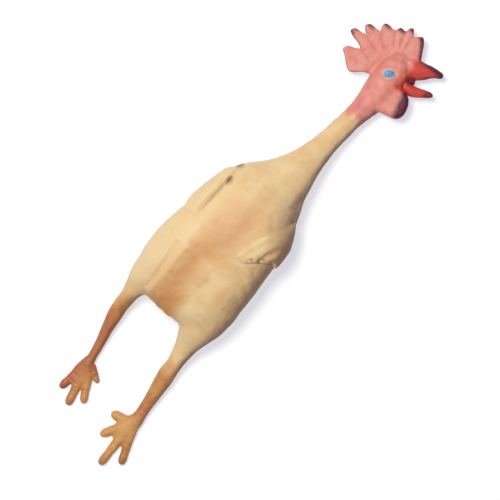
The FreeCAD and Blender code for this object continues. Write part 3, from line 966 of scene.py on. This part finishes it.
@dataclass(frozen=True)
class Stretch:
    """One stretch of the skin: its cuts, its bend, and the nodes that it and its stuffing stand for."""

    name: str
    cuts: tuple[Cut, ...]
    bend: Bend
    skins: tuple[str, ...]
    stuffings: tuple[str, ...] = ()
    slot: str = "latex_skin"

    def piece(self, whole: bpy.types.Object, name: str) -> bpy.types.Object:
        """Cuts this stretch out of a whole form, and keeps the whole's normals across the cuts.

        Args:
            whole: The form.
            name: The new piece's name.

        Returns:
            The piece, closed, in the model's frame.
        """
        bm = bmesh.new()
        bm.from_mesh(whole.data)
        for cut in self.cuts:
            at = Vector(cut.point) * MM
            parts = bm.verts[:] + bm.edges[:] + bm.faces[:]
            bmesh.ops.bisect_plane(bm, geom=parts, dist=1e-7, plane_co=at, plane_no=cut.towards, clear_outer=True)
        open_rims = [edge for edge in bm.edges if edge.is_boundary]
        caps = bmesh.ops.holes_fill(bm, edges=open_rims, sides=0)["faces"] if open_rims else []
        for face in bm.faces:
            face.smooth = True
        for face in caps:
            face.smooth = False
            for edge in face.edges:
                edge.smooth = False
        bmesh.ops.triangulate(bm, faces=caps)
        obj = as_object(bm, name)
        keep_normals(obj.data)
        return obj


def remember(mesh: bpy.types.Mesh) -> None:
    """Stores a mesh's places and normals at its points, for its paint and its parts.

    Args:
        mesh: The mesh.
    """
    for name, rows in ((PLACE, coordinates(mesh) * MM), (FACING, facings(mesh))):
        store = mesh.attributes.new(name, "FLOAT_VECTOR", "POINT")
        store.data.foreach_set("vector", rows.astype(np.float32).ravel())


def keep_normals(mesh: bpy.types.Mesh) -> None:
    """Gives a part's skin the stored normals of the whole, and leaves its flat caps as they are.

    Args:
        mesh: The part's mesh.
    """
    flat = np.zeros(len(mesh.vertices) * 3, np.float32)
    mesh.attributes[FACING].data.foreach_get("vector", flat)
    stored = flat.reshape(-1, 3)
    corners = np.zeros(len(mesh.loops), np.int32)
    mesh.loops.foreach_get("vertex_index", corners)
    normals = stored[corners]
    for face in mesh.polygons:
        if not face.use_smooth:
            normals[face.loop_start : face.loop_start + face.loop_total] = face.normal
    lengths = np.linalg.norm(normals, axis=1)
    normals[lengths < 1e-6] = (0, 0, 1)
    mesh.normals_split_custom_set((normals / np.linalg.norm(normals, axis=1)[:, None]).tolist())


# ---------------------------------------------------------------- the chicken

TORSO_SQUARE = 2.2


@dataclass
class Trunk:
    """The torso and the neck, up to the throat."""

    rings: tuple[Ring, ...] = (
        Ring(-8, -109.4, 30, 21, 15, 2.4),
        Ring(-7.5, -107.5, 30, 27, 18, 2.5),
        Ring(-6.5, -101, 31, 41, 24, 2.4),
        Ring(-4.5, -86, 33, 54.5, 31, 2.3),
        Ring(-6, -57, 36.5, 58.5, 37, 2.2),
        Ring(-5.5, -17, 38.5, 55, 40, 2.2),
        Ring(-4.2, 20, 37.8, 49.8, 39, 2.2),
        Ring(-6, 41, 36, 43.5, 34.5, 2.15),
        Ring(-5.5, 54, 35, 38, 29.5, 2.1),
        Ring(-2.5, 66, 34, 30, 25.2, 2.05),
        Ring(1, 80, 32.3, 23.2, 21.5),
        Ring(2.8, 93, 30, 18.4, 17.8),
        Ring(4.4, 106, 27, 15.2, 14.9),
        Ring(5.6, 119, 24, 13.1, 13),
        Ring(6.7, 132, 21.5, 11.9, 11.8),
        Ring(7.7, 145, 19.5, 11.5, 11.4),
        Ring(8.9, 158, 18.2, 11.4, 11.3),
        Ring(10.6, 171, 17.7, 12, 11.8),
        Ring(11.8, 184, 17.5, 14.5, 12.8),
        Ring(12, 200, 17.5, 17.5, 13.6),
        Ring(11, 214, 17.5, 18.6, 13.9),
        Ring(10, 226, 17.5, 17, 12.8),
        Ring(8.5, 237, 17.5, 12.5, 9.2),
        Ring(7.5, 243, 17.5, 7, 4.5),
        Ring(7, 245, 17.5, 2, 1.5),
    )

    def build(self, mould: Mould, inset: float) -> None:
        """Adds it to a form.

        Args:
            mould: The form.
            inset: How far inside the skin, for its stuffing.
        """
        rings = [ring.slimmer(inset) for ring in self.rings]
        mould.limb(rings[1:-1] if inset else rings, 2.5, face_on=True, sides=96)

    def section(self, y: float) -> tuple[float, float, float, float]:
        """The torso's cross-section at one place along it.

        Args:
            y: The place.

        Returns:
            Its middle in X and Z, its half width and its half depth.
        """
        places = [ring.y for ring in self.rings]
        columns = zip(*[(ring.x, ring.z, ring.wide, ring.deep) for ring in self.rings])
        return tuple(float(np.interp(y, places, column)) for column in columns)


@dataclass
class Leg:
    """One leg, from inside the torso to the toes."""

    rings: tuple[Ring, ...]
    palm: tuple[Ring, ...]
    toes: tuple[tuple[float, float, float, float, float, float], ...]
    toe_rise: float = 6.3
    tip_rise: float = 4.9
    toe_depth: float = 0.92

    def build(self, mould: Mould, inset: float) -> None:
        """Adds the stuffed or solid limb to a form.

        Args:
            mould: The form.
            inset: How far inside the skin, for its stuffing.
        """
        mould.limb([ring.slimmer(inset) for ring in self.rings], 2.5, face_on=True, sides=40)

    def build_foot(self, mould: Mould) -> None:
        """Adds the palm and the toes to a form.

        Args:
            mould: The form.
        """
        mould.limb(self.palm, 2.0, face_on=True, sides=36)
        for x, y, tip_x, tip_y, root, tip in self.toes:
            away = Vector((tip_x - x, tip_y - y))
            end = away.normalized()
            rings = []
            for share, size in ((0, 1.0), (0.34, 0.95), (0.5, 1.0), (0.7, 0.94), (0.86, 1.0), (1.0, 0.96)):
                half = (root * (1 - share) + tip * share) * size
                rise = self.toe_rise * (1 - share) + self.tip_rise * share
                rings.append(Ring(x + away.x * share, y + away.y * share, rise, half, half * self.toe_depth))
            for reach, size in ((0.5, 0.82), (0.85, 0.52), (1.02, 0.2)):
                place = Vector((tip_x, tip_y)) + end * tip * reach
                rings.append(Ring(place.x, place.y, self.tip_rise, tip * size, tip * size * self.toe_depth))
            mould.limb(rings, 1.5, sides=28)

    def creases(self) -> list[Stroke]:
        """The creases over the toes' knuckles.

        Returns:
            The strokes that press them in.
        """
        strokes = []
        for x, y, tip_x, tip_y, root, _ in self.toes:
            away = Vector((tip_x - x, tip_y - y))
            side = Vector((-away.y, away.x)).normalized() * root * 0.8
            for share in (0.42, 0.66, 0.78):
                at = Vector((x, y)) + away * share
                strokes.append(Stroke(((at.x - side.x, at.y - side.y), (at.x + side.x, at.y + side.y)), 0.9, -0.45))
        return strokes


LEFT_LEG = Leg(
    rings=(
        Ring(-36, -60, 34, 24, 24),
        Ring(-41, -88, 31, 19.8, 20.5),
        Ring(-42.8, -102, 28, 15, 16),
        Ring(-43.6, -114, 23.5, 10.2, 11),
        Ring(-43, -124, 19.5, 8.6, 9),
        Ring(-42.6, -136, 15.5, 8.3, 8.4),
        Ring(-41, -147, 12.8, 8, 8),
        Ring(-37.6, -162, 10.5, 6.6, 6.6),
        Ring(-33.6, -178, 8.5, 5.5, 5.7),
        Ring(-30.4, -194, 7.5, 5.2, 5.4),
        Ring(-28.5, -204, 6.8, 6, 5.2),
    ),
    palm=(
        Ring(-30.4, -192, 7.4, 4.6, 4.8),
        Ring(-30, -199, 7.1, 6.4, 5.2),
        Ring(-27.6, -207, 6.6, 9.8, 5),
        Ring(-25.6, -215, 6.3, 11.6, 4.6),
        Ring(-26, -222, 6, 10, 4.2),
        Ring(-27, -227, 6, 5, 3),
    ),
    toes=(
        (-31, -205, -34.2, -233.4, 4.9, 4.2),
        (-27, -210, -18.6, -241.8, 5.2, 4.5),
        (-22, -208, -8.6, -230.8, 5.0, 4.2),
        (-25, -200, -11.5, -207.6, 4.6, 3.2),
    ),
)

RIGHT_LEG = Leg(
    rings=(
        Ring(27, -60, 34, 26, 26),
        Ring(30.5, -92, 31, 22, 22.5),
        Ring(30.8, -107, 28, 17.6, 18),
        Ring(32.8, -120, 24, 12.8, 13.2),
        Ring(35, -134, 19, 9.6, 9.7),
        Ring(36.6, -146, 15.8, 8.6, 8.8),
        Ring(38, -158, 13.6, 9.4, 9.2),
        Ring(40, -172, 11, 8.3, 8.2),
        Ring(42.4, -190, 9.2, 6.9, 6.9),
        Ring(44.4, -206, 8, 6.6, 6.5),
        Ring(44.4, -216, 7, 7.2, 5.8),
    ),
    palm=(
        Ring(44.5, -202, 8.2, 5.6, 5.6),
        Ring(44.6, -210, 7.6, 7.2, 5.8),
        Ring(43, -219, 7, 10, 5.6),
        Ring(42.6, -228, 6.6, 11.6, 5.2),
        Ring(43.6, -236, 6.2, 10.4, 4.6),
        Ring(44, -241, 6, 5, 3),
    ),
    toes=(
        (39, -219, 26, -221.5, 6.2, 5.2),
        (37.5, -228, 29.2, -243, 6.0, 4.4),
        (44, -230, 46.2, -265.5, 5.6, 4.3),
        (49, -224, 61, -252, 5.4, 4.4),
    ),
)


@dataclass
class Head:
    """The comb, the upper beak and the wattles, which are moulded with the head."""

    middle: float = 17.5
    comb_half: float = 5.0
    comb: tuple[tuple[float, float], ...] = (
        (10, 222), (-2, 206), (-9, 204.5), (-15, 201), (-20, 196), (-24.5, 193.6), (-31, 197), (-38, 202.5),
        (-44, 208), (-42, 211.5), (-34, 215.4), (-30.5, 218.2), (-36, 221.2), (-44, 222.6), (-50.4, 226),
        (-48, 230), (-40, 231.2), (-35.5, 233), (-39, 235.6), (-42, 239), (-38.5, 243.2), (-32, 243.6),
        (-26.5, 244.4), (-29, 249), (-28.6, 253), (-23, 254.8), (-17.5, 254), (-15, 256), (-14.5, 259.4),
        (-10.8, 260.8), (-8, 260.2), (-7, 262.4), (-6, 266.4), (-3, 268), (-0.5, 265), (3, 262), (6, 265),
        (9.6, 267.6), (13.6, 264.6), (19, 256), (23, 247.5), (20, 240),
    )
    upper_beak: tuple[Ring, ...] = (
        Ring(14, 236, 17.5, 8, 8),
        Ring(20, 237, 17.5, 10.2, 9.4),
        Ring(26, 238.6, 17.5, 10.4, 8.8),
        Ring(32, 241.8, 17.5, 9, 7.6),
        Ring(39, 246.6, 17.5, 6.2, 5.8),
        Ring(45.5, 249.5, 17.5, 3.9, 4),
        Ring(49.5, 250.4, 17.5, 2.8, 2.8),
        Ring(51, 250.5, 17.5, 1.2, 1.2),
    )
    mouth: tuple[Ring, ...] = (
        Ring(20, 225, 17.5, 5.6, 5),
        Ring(26, 226, 17.5, 5, 4.4),
        Ring(31, 226.6, 17.5, 3.6, 3.4),
        Ring(34, 226.8, 17.5, 1.4, 1.4),
    )
    wattle: tuple[tuple[float, float], ...] = (
        (22, 213), (29, 214.5), (35, 213.6), (39.5, 211), (43, 206.5), (45.4, 200), (46, 194), (43.6, 189),
        (38, 186), (30, 183.6), (22, 182), (14, 186), (9, 195), (10, 206), (15, 213),
    )
    wattle_half: float = 5.6
    wattle_lean: float = 5.2

    def build(self, mould: Mould) -> None:
        """Adds them to a form.

        Args:
            mould: The form.
        """
        mould.lobe(self.comb, self.middle - self.comb_half, self.middle + self.comb_half, 2.6)
        mould.limb(self.upper_beak, 1.5, sides=32)
        mould.limb(self.mouth, 1.5, sides=24)
        for side in (-1, 1):
            middle = self.middle + side * self.wattle_lean
            mould.lobe(self.wattle, middle - self.wattle_half, middle + self.wattle_half, 3.6)

    def strokes(self) -> list[Stroke]:
        """The brow, the back of the skull, the grooves between the comb's spikes, and the eye's socket.

        Returns:
            The strokes that shape them.
        """
        grooves = [
            ((-28, 217.6), (-16, 216)), ((-33, 232.6), (-18, 228)), ((-25, 243.4), (-13, 236)),
            ((-14.5, 255), (-7, 243)), ((-6.4, 261), (-2, 247)), ((3, 261), (4, 249)),
        ]
        strokes = [Stroke(path, 1.8, -0.9) for path in grooves]
        strokes.append(Stroke(((-5, 230), (1, 234), (8, 236.5), (18, 238)), 2.2, -0.7))
        strokes.append(Stroke(((-1, 226), (4, 230), (10, 232.5), (18, 233)), 3.0, 0.6))
        strokes.append(Stroke(((-8, 205), (-8.5, 214), (-6, 224)), 2.8, -0.5))
        strokes.append(Stroke(((4, 213.8), (12, 220.4)), 3.2, -1.1))
        strokes.append(Stroke(((1.5, 209.5), (9, 211), (14, 216)), 1.6, 0.7))
        strokes.append(Stroke(((23, 244), (21, 236), (19, 226), (21, 213), (27, 209)), 2.0, -0.4))
        strokes.append(Stroke(((33, 239), (40, 245)), 1.4, -0.6))
        return strokes


@dataclass
class Belly:
    """What is pressed into the torso: the thighs' lobes, the sunken belly, the breast, and the folds by the wings."""

    strokes: tuple[Stroke, ...] = (
        Stroke(((-50, -30), (-47, -70), (-44, -96)), 11, 2.2),
        Stroke(((24, -62), (27, -84), (27, -104)), 13, 2.4),
        Stroke(((-12, -45), (-12, -75), (-9, -98)), 10, -3.0),
        Stroke(((-31, -48), (-30, -80), (-29, -103)), 3.2, 1.5),
        Stroke(((-40, -50), (-37, -74), (-35, -100)), 2.8, -2.0),
        Stroke(((6, -62), (7, -84), (6, -104)), 4, -0.9),
        Stroke(((-14, 46), (-11, 20), (-9, -14)), 9, 1.2),
        Stroke(((24, -30), (40, -38), (50, -46)), 3.0, -0.35),
        Stroke(((30, -44), (50, -58)), 3.2, -0.3),
        Stroke(((34, -20), (50, -30)), 2.8, -0.3),
        Stroke(((28, 60), (28, 51), (34, 44)), 8, -2.4),
        Stroke(((-46, 51.5), (-43, 50.5)), 3.6, -3.2),
        Stroke(((-42.6, 34), (-42.6, 30)), 3.0, -3.0),
        Stroke(((14, 32), (22, 24)), 3.2, -0.9),
        Stroke(((-34, 60), (-20, 66), (-6, 70)), 4.5, -0.5),
        Stroke(((-2, 62), (-1, 88), (3, 120), (6, 150)), 4.5, 0.5),
    )
    under: tuple[Stroke, ...] = (
        Stroke(((-6, 40), (-6, -70)), 2.2, 0.8, from_below=True),
        Stroke(((-30, -80), (-12, -100)), 5, -1.0, from_below=True),
    )


@dataclass
class Wing:
    """A folded wing that wraps round the flank.

    Its outline is given as degrees round the torso from the top, to the right, and places along the torso. It is
    made of rings that shrink towards its centre, the lower ones under the skin and the upper ones domed over it.
    """

    name: str
    outline: tuple[tuple[float, float], ...]
    centre: tuple[float, float]
    thick: float
    strokes: tuple[Stroke, ...]
    fade: tuple[float, float] = (80.0, 90.0)
    buried: float = 1.6
    under: float = -2.2
    lower_reaches: tuple[float, ...] = (0.06, 0.3, 0.55, 0.78, 0.93)
    upper_reaches: tuple[float, ...] = (1.0, 0.985, 0.95, 0.88, 0.78, 0.65, 0.5, 0.33, 0.16, 0.06)
    voxel: float = 0.9
    smooth: int = 3
    ripple: float = 0.25

    def build(self, trunk: Trunk, paints: Paints) -> bpy.types.Object:
        """Models and paints it.

        Args:
            trunk: The trunk that it lies on.
            paints: The finishes.

        Returns:
            The wing.
        """
        mould = Mould()
        edge = through([(turn, y, 0.0) for turn, y in self.outline], 1.5, closed=True)[:, :2]
        loop = mould.circle(len(edge))
        verts = mould.in_order(loop)
        for number, vert in enumerate(verts):
            vert[mould.turn] = number
        reaches = (*self.lower_reaches, *self.upper_reaches)
        for step, reach in enumerate(reaches):
            if step:
                verts, loop = mould.grow(loop)
            for vert in verts:
                turn, y = np.array(self.centre) * (1 - reach) + edge[round(vert[mould.turn])] * reach
                thick = self.thick * (1 - 0.6 * float(np.interp(y, self.fade, (0, 1))))
                over = thick * (1 - reach**6) ** 0.5 - self.buried * reach**8
                rise = self.under if step < len(self.lower_reaches) else over
                vert.co = self._round(trunk, turn, y, rise)
            if step in (0, len(reaches) - 1):
                bmesh.ops.contextual_create(mould.bm, geom=loop)
        obj = mould.pour(self.name, self.voxel, self.smooth)
        sculpt(obj, self.strokes, ripple=self.ripple)
        finish_piece(obj, Finish.LATEX, paints)
        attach(obj, self.name)
        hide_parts(self.name)
        return obj

    @staticmethod
    def _round(trunk: Trunk, turn: float, y: float, rise: float) -> Vector:
        """A point above the torso's skin.

        Args:
            trunk: The trunk.
            turn: Degrees round it from the top.
            y: The place along it.
            rise: The height above the skin.

        Returns:
            The point.
        """
        x, z, wide, deep = trunk.section(y)
        sin, cos = math.sin(math.radians(turn)), math.cos(math.radians(turn))
        square = 2 / TORSO_SQUARE
        side = math.copysign(abs(sin) ** square, sin)
        up = math.copysign(abs(cos) ** square, cos)
        return Vector((x + side * (wide + rise), y, z + up * (deep + rise)))


WINGS = (
    Wing(
        "left_wing",
        outline=(
            (-63, 45), (-54, 32), (-49, 10), (-45.5, -6), (-46, -16), (-54, -21), (-74, -17), (-94, -4), (-101, 16),
            (-99, 34), (-90, 42), (-76, 46.5),
        ),
        centre=(-72, 16),
        thick=4.2,
        strokes=(
            Stroke(((-54, 44), (-52, 20), (-51, -8)), 3.4, 0.9),
            Stroke(((-47.5, 40), (-46, 14), (-45.5, -8)), 1.8, -0.7),
            Stroke(((-57, 20), (-57, -4)), 2.4, -0.5),
        ),
    ),
    Wing(
        "right_wing",
        outline=(
            (18, -21.5), (21.5, -2), (28, 14), (38, 26), (60, 38), (82, 44), (97, 38), (101, 20), (98, 4), (86, -6),
            (66, -4), (47, -11), (34, -17), (24, -23.5),
        ),
        centre=(58, 12),
        thick=4.4,
        fade=(16.0, 44.0),
        strokes=(
            Stroke(((13, -19), (17, -3), (21, 8), (24, 15)), 3.6, 1.5),
            Stroke(((20, -12), (24, -2), (27, 8)), 3.4, -0.55),
            Stroke(((26, -13), (31, 1), (35, 12)), 3.6, 0.7),
            Stroke(((33, -8), (37, 4)), 3.0, -0.5),
            Stroke(((42, -4), (44, 8)), 3.2, 0.6),
            Stroke(((25.5, -16.5), (26, -15.5)), 2.4, -1.3),
            Stroke(((34, -9), (34.5, -8)), 2.2, -1.1),
            Stroke(((43, -3), (43.5, -2)), 2.0, -0.9),
        ),
    ),
)


@dataclass
class LowerBeak:
    """The lower half of the beak, which is moulded apart so that it can be pinched shut."""

    rings: tuple[Ring, ...] = (
        Ring(23, 219.6, 17.5, 5.4, 6.2),
        Ring(28, 219.2, 17.5, 6.2, 7),
        Ring(34, 219.2, 17.5, 6.1, 6.6),
        Ring(39, 220.6, 17.5, 5.5, 5.6),
        Ring(44.5, 223.8, 17.5, 4.6, 4.5),
        Ring(50, 227, 17.5, 3.7, 3.6),
        Ring(54, 229, 17.5, 2.6, 2.7),
        Ring(55.8, 229.6, 17.5, 1.1, 1.2),
    )
    groove: Stroke = Stroke(((30, 222), (40, 223.5), (50, 228)), 1.6, -0.7)
    sides: int = 32
    step: float = 1.5
    voxel: float = 0.7
    smooth: int = 4
    ripple: float = 0.12

    def build(self, paints: Paints) -> bpy.types.Object:
        """Models and paints it.

        Args:
            paints: The finishes.

        Returns:
            The lower beak.
        """
        mould = Mould()
        mould.limb(self.rings, self.step, sides=self.sides)
        obj = mould.pour("lower_beak_skin", self.voxel, self.smooth)
        sculpt(obj, [self.groove], ripple=self.ripple)
        finish_piece(obj, Finish.LATEX, paints)
        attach(obj, "jaw")
        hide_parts("lower_beak")
        return obj


@dataclass
class Eye:
    """A painted eye, a shallow oval dome in its socket."""

    name: str
    side: int
    x: float = 8.0
    y: float = 217.0
    middle: float = 17.5
    rise: float = 12.6
    half_long: float = 6.3
    half_wide: float = 4.3
    dome: float = 2.6
    turn: float = 40.0
    segments: int = 48

    def build(self, paints: Paints) -> bpy.types.Object:
        """Models and paints it.

        Args:
            paints: The finishes.

        Returns:
            The eye.
        """
        bm = bmesh.new()
        bmesh.ops.create_uvsphere(bm, u_segments=self.segments, v_segments=self.segments // 2, radius=1.0)
        sizes = Matrix.Diagonal((self.half_long, self.half_wide, self.dome, 1.0))
        place = Matrix.Translation((self.x, self.y, self.middle + self.side * self.rise))
        lean = Matrix.Rotation(math.radians(self.turn), 4, "Z")
        bmesh.ops.transform(bm, matrix=Matrix.Scale(MM, 4) @ place @ lean @ sizes, verts=bm.verts)
        for face in bm.faces:
            face.smooth = True
        obj = as_object(bm, self.name + "_dome")
        finish_piece(obj, Finish.EYE, paints)
        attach(obj, "head")
        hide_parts(self.name)
        return obj


def finish_piece(obj: bpy.types.Object, finish: Finish, paints: Paints) -> None:
    """Smooths and paints a piece.

    Args:
        obj: The piece.
        finish: Its finish.
        paints: The finishes.
    """
    obj.data.polygons.foreach_set("use_smooth", [True] * len(obj.data.polygons))
    remember(obj.data)
    paints.on(obj, finish)


def level_cut(y: float, keep_above: bool) -> Cut:
    """A cut square across the body.

    Args:
        y: Where it is.
        keep_above: Whether the side towards the head is kept.

    Returns:
        The cut.
    """
    return Cut((0, y, 0), (0, -1 if keep_above else 1, 0))


@dataclass
class Stretches:
    """Where the skin is divided and how each stretch bends."""

    vent: tuple[float, float, float] = (-7, -112, 0)
    left_groin: tuple[float, float, float] = (-0.55, -0.835, 0)
    right_groin: tuple[float, float, float] = (0.55, -0.835, 0)
    fork: float = 6
    left_thigh_reach: float = 24
    right_thigh_reach: float = 28
    collar: float = 94.5
    neck_middle_top: float = 120.0
    neck_upper_top: float = 144.5
    torso_bend: tuple[float, float] = (66, 93)
    left_ends: tuple[float, float] = (-138.5, -173)
    right_ends: tuple[float, float] = (-145, -184)
    left_zones: tuple[tuple[float, float], ...] = ((-124.5, -137), (-140, -162), (-184, -204))
    right_zones: tuple[tuple[float, float], ...] = ((-128.5, -142), (-149, -173), (-195, -217))

    def neck(self) -> list[Stretch]:
        """The neck's and head's stretches.

        Returns:
            The stretches, from the lowest.
        """
        head_nodes = ("head_skin", "comb", "upper_beak", "left_wattle", "right_wattle")
        middle, upper = self.neck_middle_top, self.neck_upper_top
        rows = (
            ("neck_middle", self.collar, middle, "neck_lower", (96, 119), ("neck_middle_skin",)),
            ("neck_upper", middle, upper, "neck_middle", (121.5, 143), ("neck_upper_skin",)),
            ("head", upper, None, "neck_upper", (146, 168), head_nodes),
        )
        made = []
        for name, low, high, near, (start, end), skins in rows:
            cuts = (level_cut(low, True),) if high is None else (level_cut(low, True), level_cut(high, False))
            bend = Bend(near, name, (0, start, 0), (0, end, 0))
            slot = "latex_red" if name == "head" else "latex_skin"
            made.append(Stretch(name, cuts, bend, skins, (name + "_stuffing",), slot))
        return made

    def torso(self) -> Stretch:
        """The torso, with the foot of the neck.

        Returns:
            The stretch.
        """
        groins = [Cut(self.vent, groin) for groin in (self.left_groin, self.right_groin)]
        cuts = (level_cut(self.collar, False), *groins)
        start, end = self.torso_bend
        bend = Bend("torso", "neck_lower", (0, start, 0), (0, end, 0))
        stuffings = ("torso_stuffing", "neck_lower_stuffing")
        return Stretch("torso", cuts, bend, ("torso_skin", "neck_lower_skin"), stuffings)

    def leg(self, side: str) -> list[Stretch]:
        """One leg's stretches.

        Args:
            side: Which leg.

        Returns:
            The thigh, the drumstick, the shank and the foot.
        """
        left = side == "left"
        groin = self.left_groin if left else self.right_groin
        reach = self.left_thigh_reach if left else self.right_thigh_reach
        zones = self.left_zones if left else self.right_zones
        first, second = [level_cut(y, True) for y in (self.left_ends if left else self.right_ends)]
        seam, fork = [Cut((x, 0, 0), (1 if left else -1, 0, 0)) for x in (self.vent[0], self.fork)]
        hip = Cut(self.vent, groin)
        knee = Cut(tuple(v + g * reach for v, g in zip(self.vent, groin)), groin)
        rows = (
            ("thigh", "torso", (hip.turned(), seam, knee), (self.vent, knee.point), "latex_skin"),
            ("drumstick", side + "_thigh", (fork, knee.turned(), first), zones[0], "latex_legs"),
            ("shank", side + "_drumstick", (fork, first.turned(), second), zones[1], "latex_legs"),
            ("foot", side + "_shank", (fork, second.turned()), zones[2], "latex_legs"),
        )
        made = []
        for part, near, cuts, (start, end), slot in rows:
            name = f"{side}_{part}"
            if part != "thigh":
                start, end = (0, start, 0), (0, end, 0)
            stuffed = part in ("thigh", "drumstick")
            skins = (name + "_skin",) if stuffed else (name,)
            stuffings = (name + "_stuffing",) if stuffed else ()
            made.append(Stretch(name, cuts, Bend(near, name, start, end), skins, stuffings, slot))
        return made

    def all(self) -> list[Stretch]:
        """Every stretch, from the torso outwards."""
        return [self.torso(), *self.neck(), *self.leg("left"), *self.leg("right")]


@dataclass
class Chicken:
    """The whole chicken."""

    paints: Paints
    trunk: Trunk = field(default_factory=Trunk)
    head: Head = field(default_factory=Head)
    belly: Belly = field(default_factory=Belly)
    stretches: Stretches = field(default_factory=Stretches)
    lining: float = 4.5
    rough_voxel: float = 1.7
    rough_smooth: int = 14
    skin_voxel: float = 1.0
    skin_smooth: int = 4
    skin_ripple: float = 0.32
    foam_voxel: float = 3.0
    foam_smooth: int = 4
    foam_floor: float = 3.0

    def whole_skin(self) -> bpy.types.Object:
        """Models the undivided skin.

        Returns:
            The skin.
        """
        rough = Mould()
        self.trunk.build(rough, 0)
        for leg in (LEFT_LEG, RIGHT_LEG):
            leg.build(rough, 0)
        trunk = rough.pour("rough_trunk", self.rough_voxel, self.rough_smooth)
        fine = Mould()
        fine.take(trunk)
        self.head.build(fine)
        for leg in (LEFT_LEG, RIGHT_LEG):
            leg.build_foot(fine)
        skin = fine.pour("whole_skin", self.skin_voxel, self.skin_smooth)
        strokes = [*self.belly.strokes, *self.belly.under, *self.head.strokes()]
        strokes += LEFT_LEG.creases() + RIGHT_LEG.creases()
        sculpt(skin, strokes, ripple=self.skin_ripple)
        return skin

    def whole_foam(self) -> bpy.types.Object:
        """Models the undivided stuffing.

        Returns:
            The stuffing.
        """
        mould = Mould()
        self.trunk.build(mould, self.lining)
        for leg in (LEFT_LEG, RIGHT_LEG):
            leg.build(mould, self.lining)
        foam = mould.pour("whole_foam", self.foam_voxel, self.foam_smooth)
        sculpt(foam, self.belly.strokes, floor=self.foam_floor)
        return foam

    def divide(self, whole: bpy.types.Object, foam: bool) -> list[bpy.types.Object]:
        """Cuts a whole form into its stretches and hangs each on its joint.

        Args:
            whole: The form, which is removed.
            foam: Whether it is the stuffing.

        Returns:
            The pieces.
        """
        remember(whole.data)
        made = []
        for stretch in self.stretches.all():
            nodes = stretch.stuffings if foam else stretch.skins
            if not nodes:
                continue
            obj = stretch.piece(whole, stretch.name + ("_filling" if foam else "_latex"))
            self.paints.on(obj, Finish.FOAM if foam else Finish.LATEX)
            bend = stretch.bend
            ends = [tuple(part * MM for part in end) for end in (bend.start, bend.end)]
            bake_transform(obj, bend.near, bend.far, start=ends[0], end=ends[1])
            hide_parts(*nodes)
            made.append(obj)
        discard(whole)
        return made

    def build(self) -> list[bpy.types.Object]:
        """Builds every piece.

        Returns:
            The pieces.
        """
        made = self.divide(self.whole_skin(), foam=False)
        made += self.divide(self.whole_foam(), foam=True)
        made += [wing.build(self.trunk, self.paints) for wing in WINGS]
        made.append(LowerBeak().build(self.paints))
        made += [Eye("left_eye", 1).build(self.paints), Eye("right_eye", -1).build(self.paints)]
        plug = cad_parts["vent_plug"]
        self.paints.on(plug, Finish.PLUG)
        return made


@dataclass
class Studio:
    """The table, the lights and the camera. Its lengths are in metres, apart from the table's and the sensor's."""

    paints: Paints
    table_half: float = 4000.0
    height: float = 3.2
    lamp_reach: float = 2.65
    lamp_tilt: float = 16.0
    lamp_ahead: float = 0.12
    lamp_size: float = 0.75
    lamp_tint: str = "FFFAF2"
    sky_tint: str = "F2F5FF"
    sensor: float = 36.0
    across: float = 0.5
    aim: tuple[float, float, float] = (0.0187, -0.0072, 0.03)
    roll: float = 41.06
    key: float = 62.0
    fill: float = 0.2

    def table(self) -> None:
        """Lays the sheet under the chicken."""
        bm = bmesh.new()
        bmesh.ops.create_grid(bm, x_segments=8, y_segments=8, size=self.table_half * MM)
        obj = as_object(bm, "table_top")
        self.paints.on(obj, Finish.TABLE)

    def lamp(self, name: str, place: tuple[float, float, float]) -> None:
        """Hangs a soft square lamp that points at the chicken.

        Args:
            name: Its name.
            place: Where it hangs, in metres.
        """
        light = bpy.data.lights.new(name, "AREA")
        light.shape = "SQUARE"
        light.size = self.lamp_size
        light.energy = self.key
        light.color = paint(self.lamp_tint)[:3]
        obj = bpy.data.objects.new(name, light)
        bpy.context.scene.collection.objects.link(obj)
        obj.location = place
        obj.rotation_euler = (Vector(self.aim) - Vector(place)).to_track_quat("-Z", "Y").to_euler()

    def lights(self) -> None:
        """Lights the table from above the chicken's left, with a weak sky."""
        lean = math.radians(self.lamp_tilt)
        place = (-math.sin(lean) * self.lamp_reach, self.lamp_ahead, math.cos(lean) * self.lamp_reach)
        self.lamp("softbox", place)
        world = bpy.data.worlds.new("sky")
        world.use_nodes = True
        sky = world.node_tree.nodes["Background"].inputs
        sky["Color"].default_value = paint(self.sky_tint)
        sky["Strength"].default_value = self.fill
        bpy.context.scene.world = world
        bpy.context.scene.view_settings.view_transform = "Standard"

    def camera(self) -> None:
        """Hangs the camera straight above, turned so that the chicken lies aslant."""
        lens = bpy.data.cameras.new("camera")
        lens.sensor_width = self.sensor
        drop = self.height - self.aim[2]
        lens.lens = lens.sensor_width * drop / self.across
        obj = bpy.data.objects.new("camera", lens)
        bpy.context.scene.collection.objects.link(obj)
        lean = Matrix.Rotation(math.radians(self.roll), 4, "Z")
        obj.matrix_world = Matrix.Translation((*self.aim[:2], self.height)) @ lean
        bpy.context.scene.camera = obj


def main() -> None:
    """Builds the chicken and its studio, and reports each piece."""
    logging.basicConfig(level=logging.INFO, format="%(message)s")
    paints = Paints()
    studio = Studio(paints)
    studio.camera()
    studio.table()
    studio.lights()
    for piece in Chicken(paints).build():
        LOG.info("%s: %d faces", piece.name, len(piece.data.polygons))


if __name__ == "__main__":
    main()
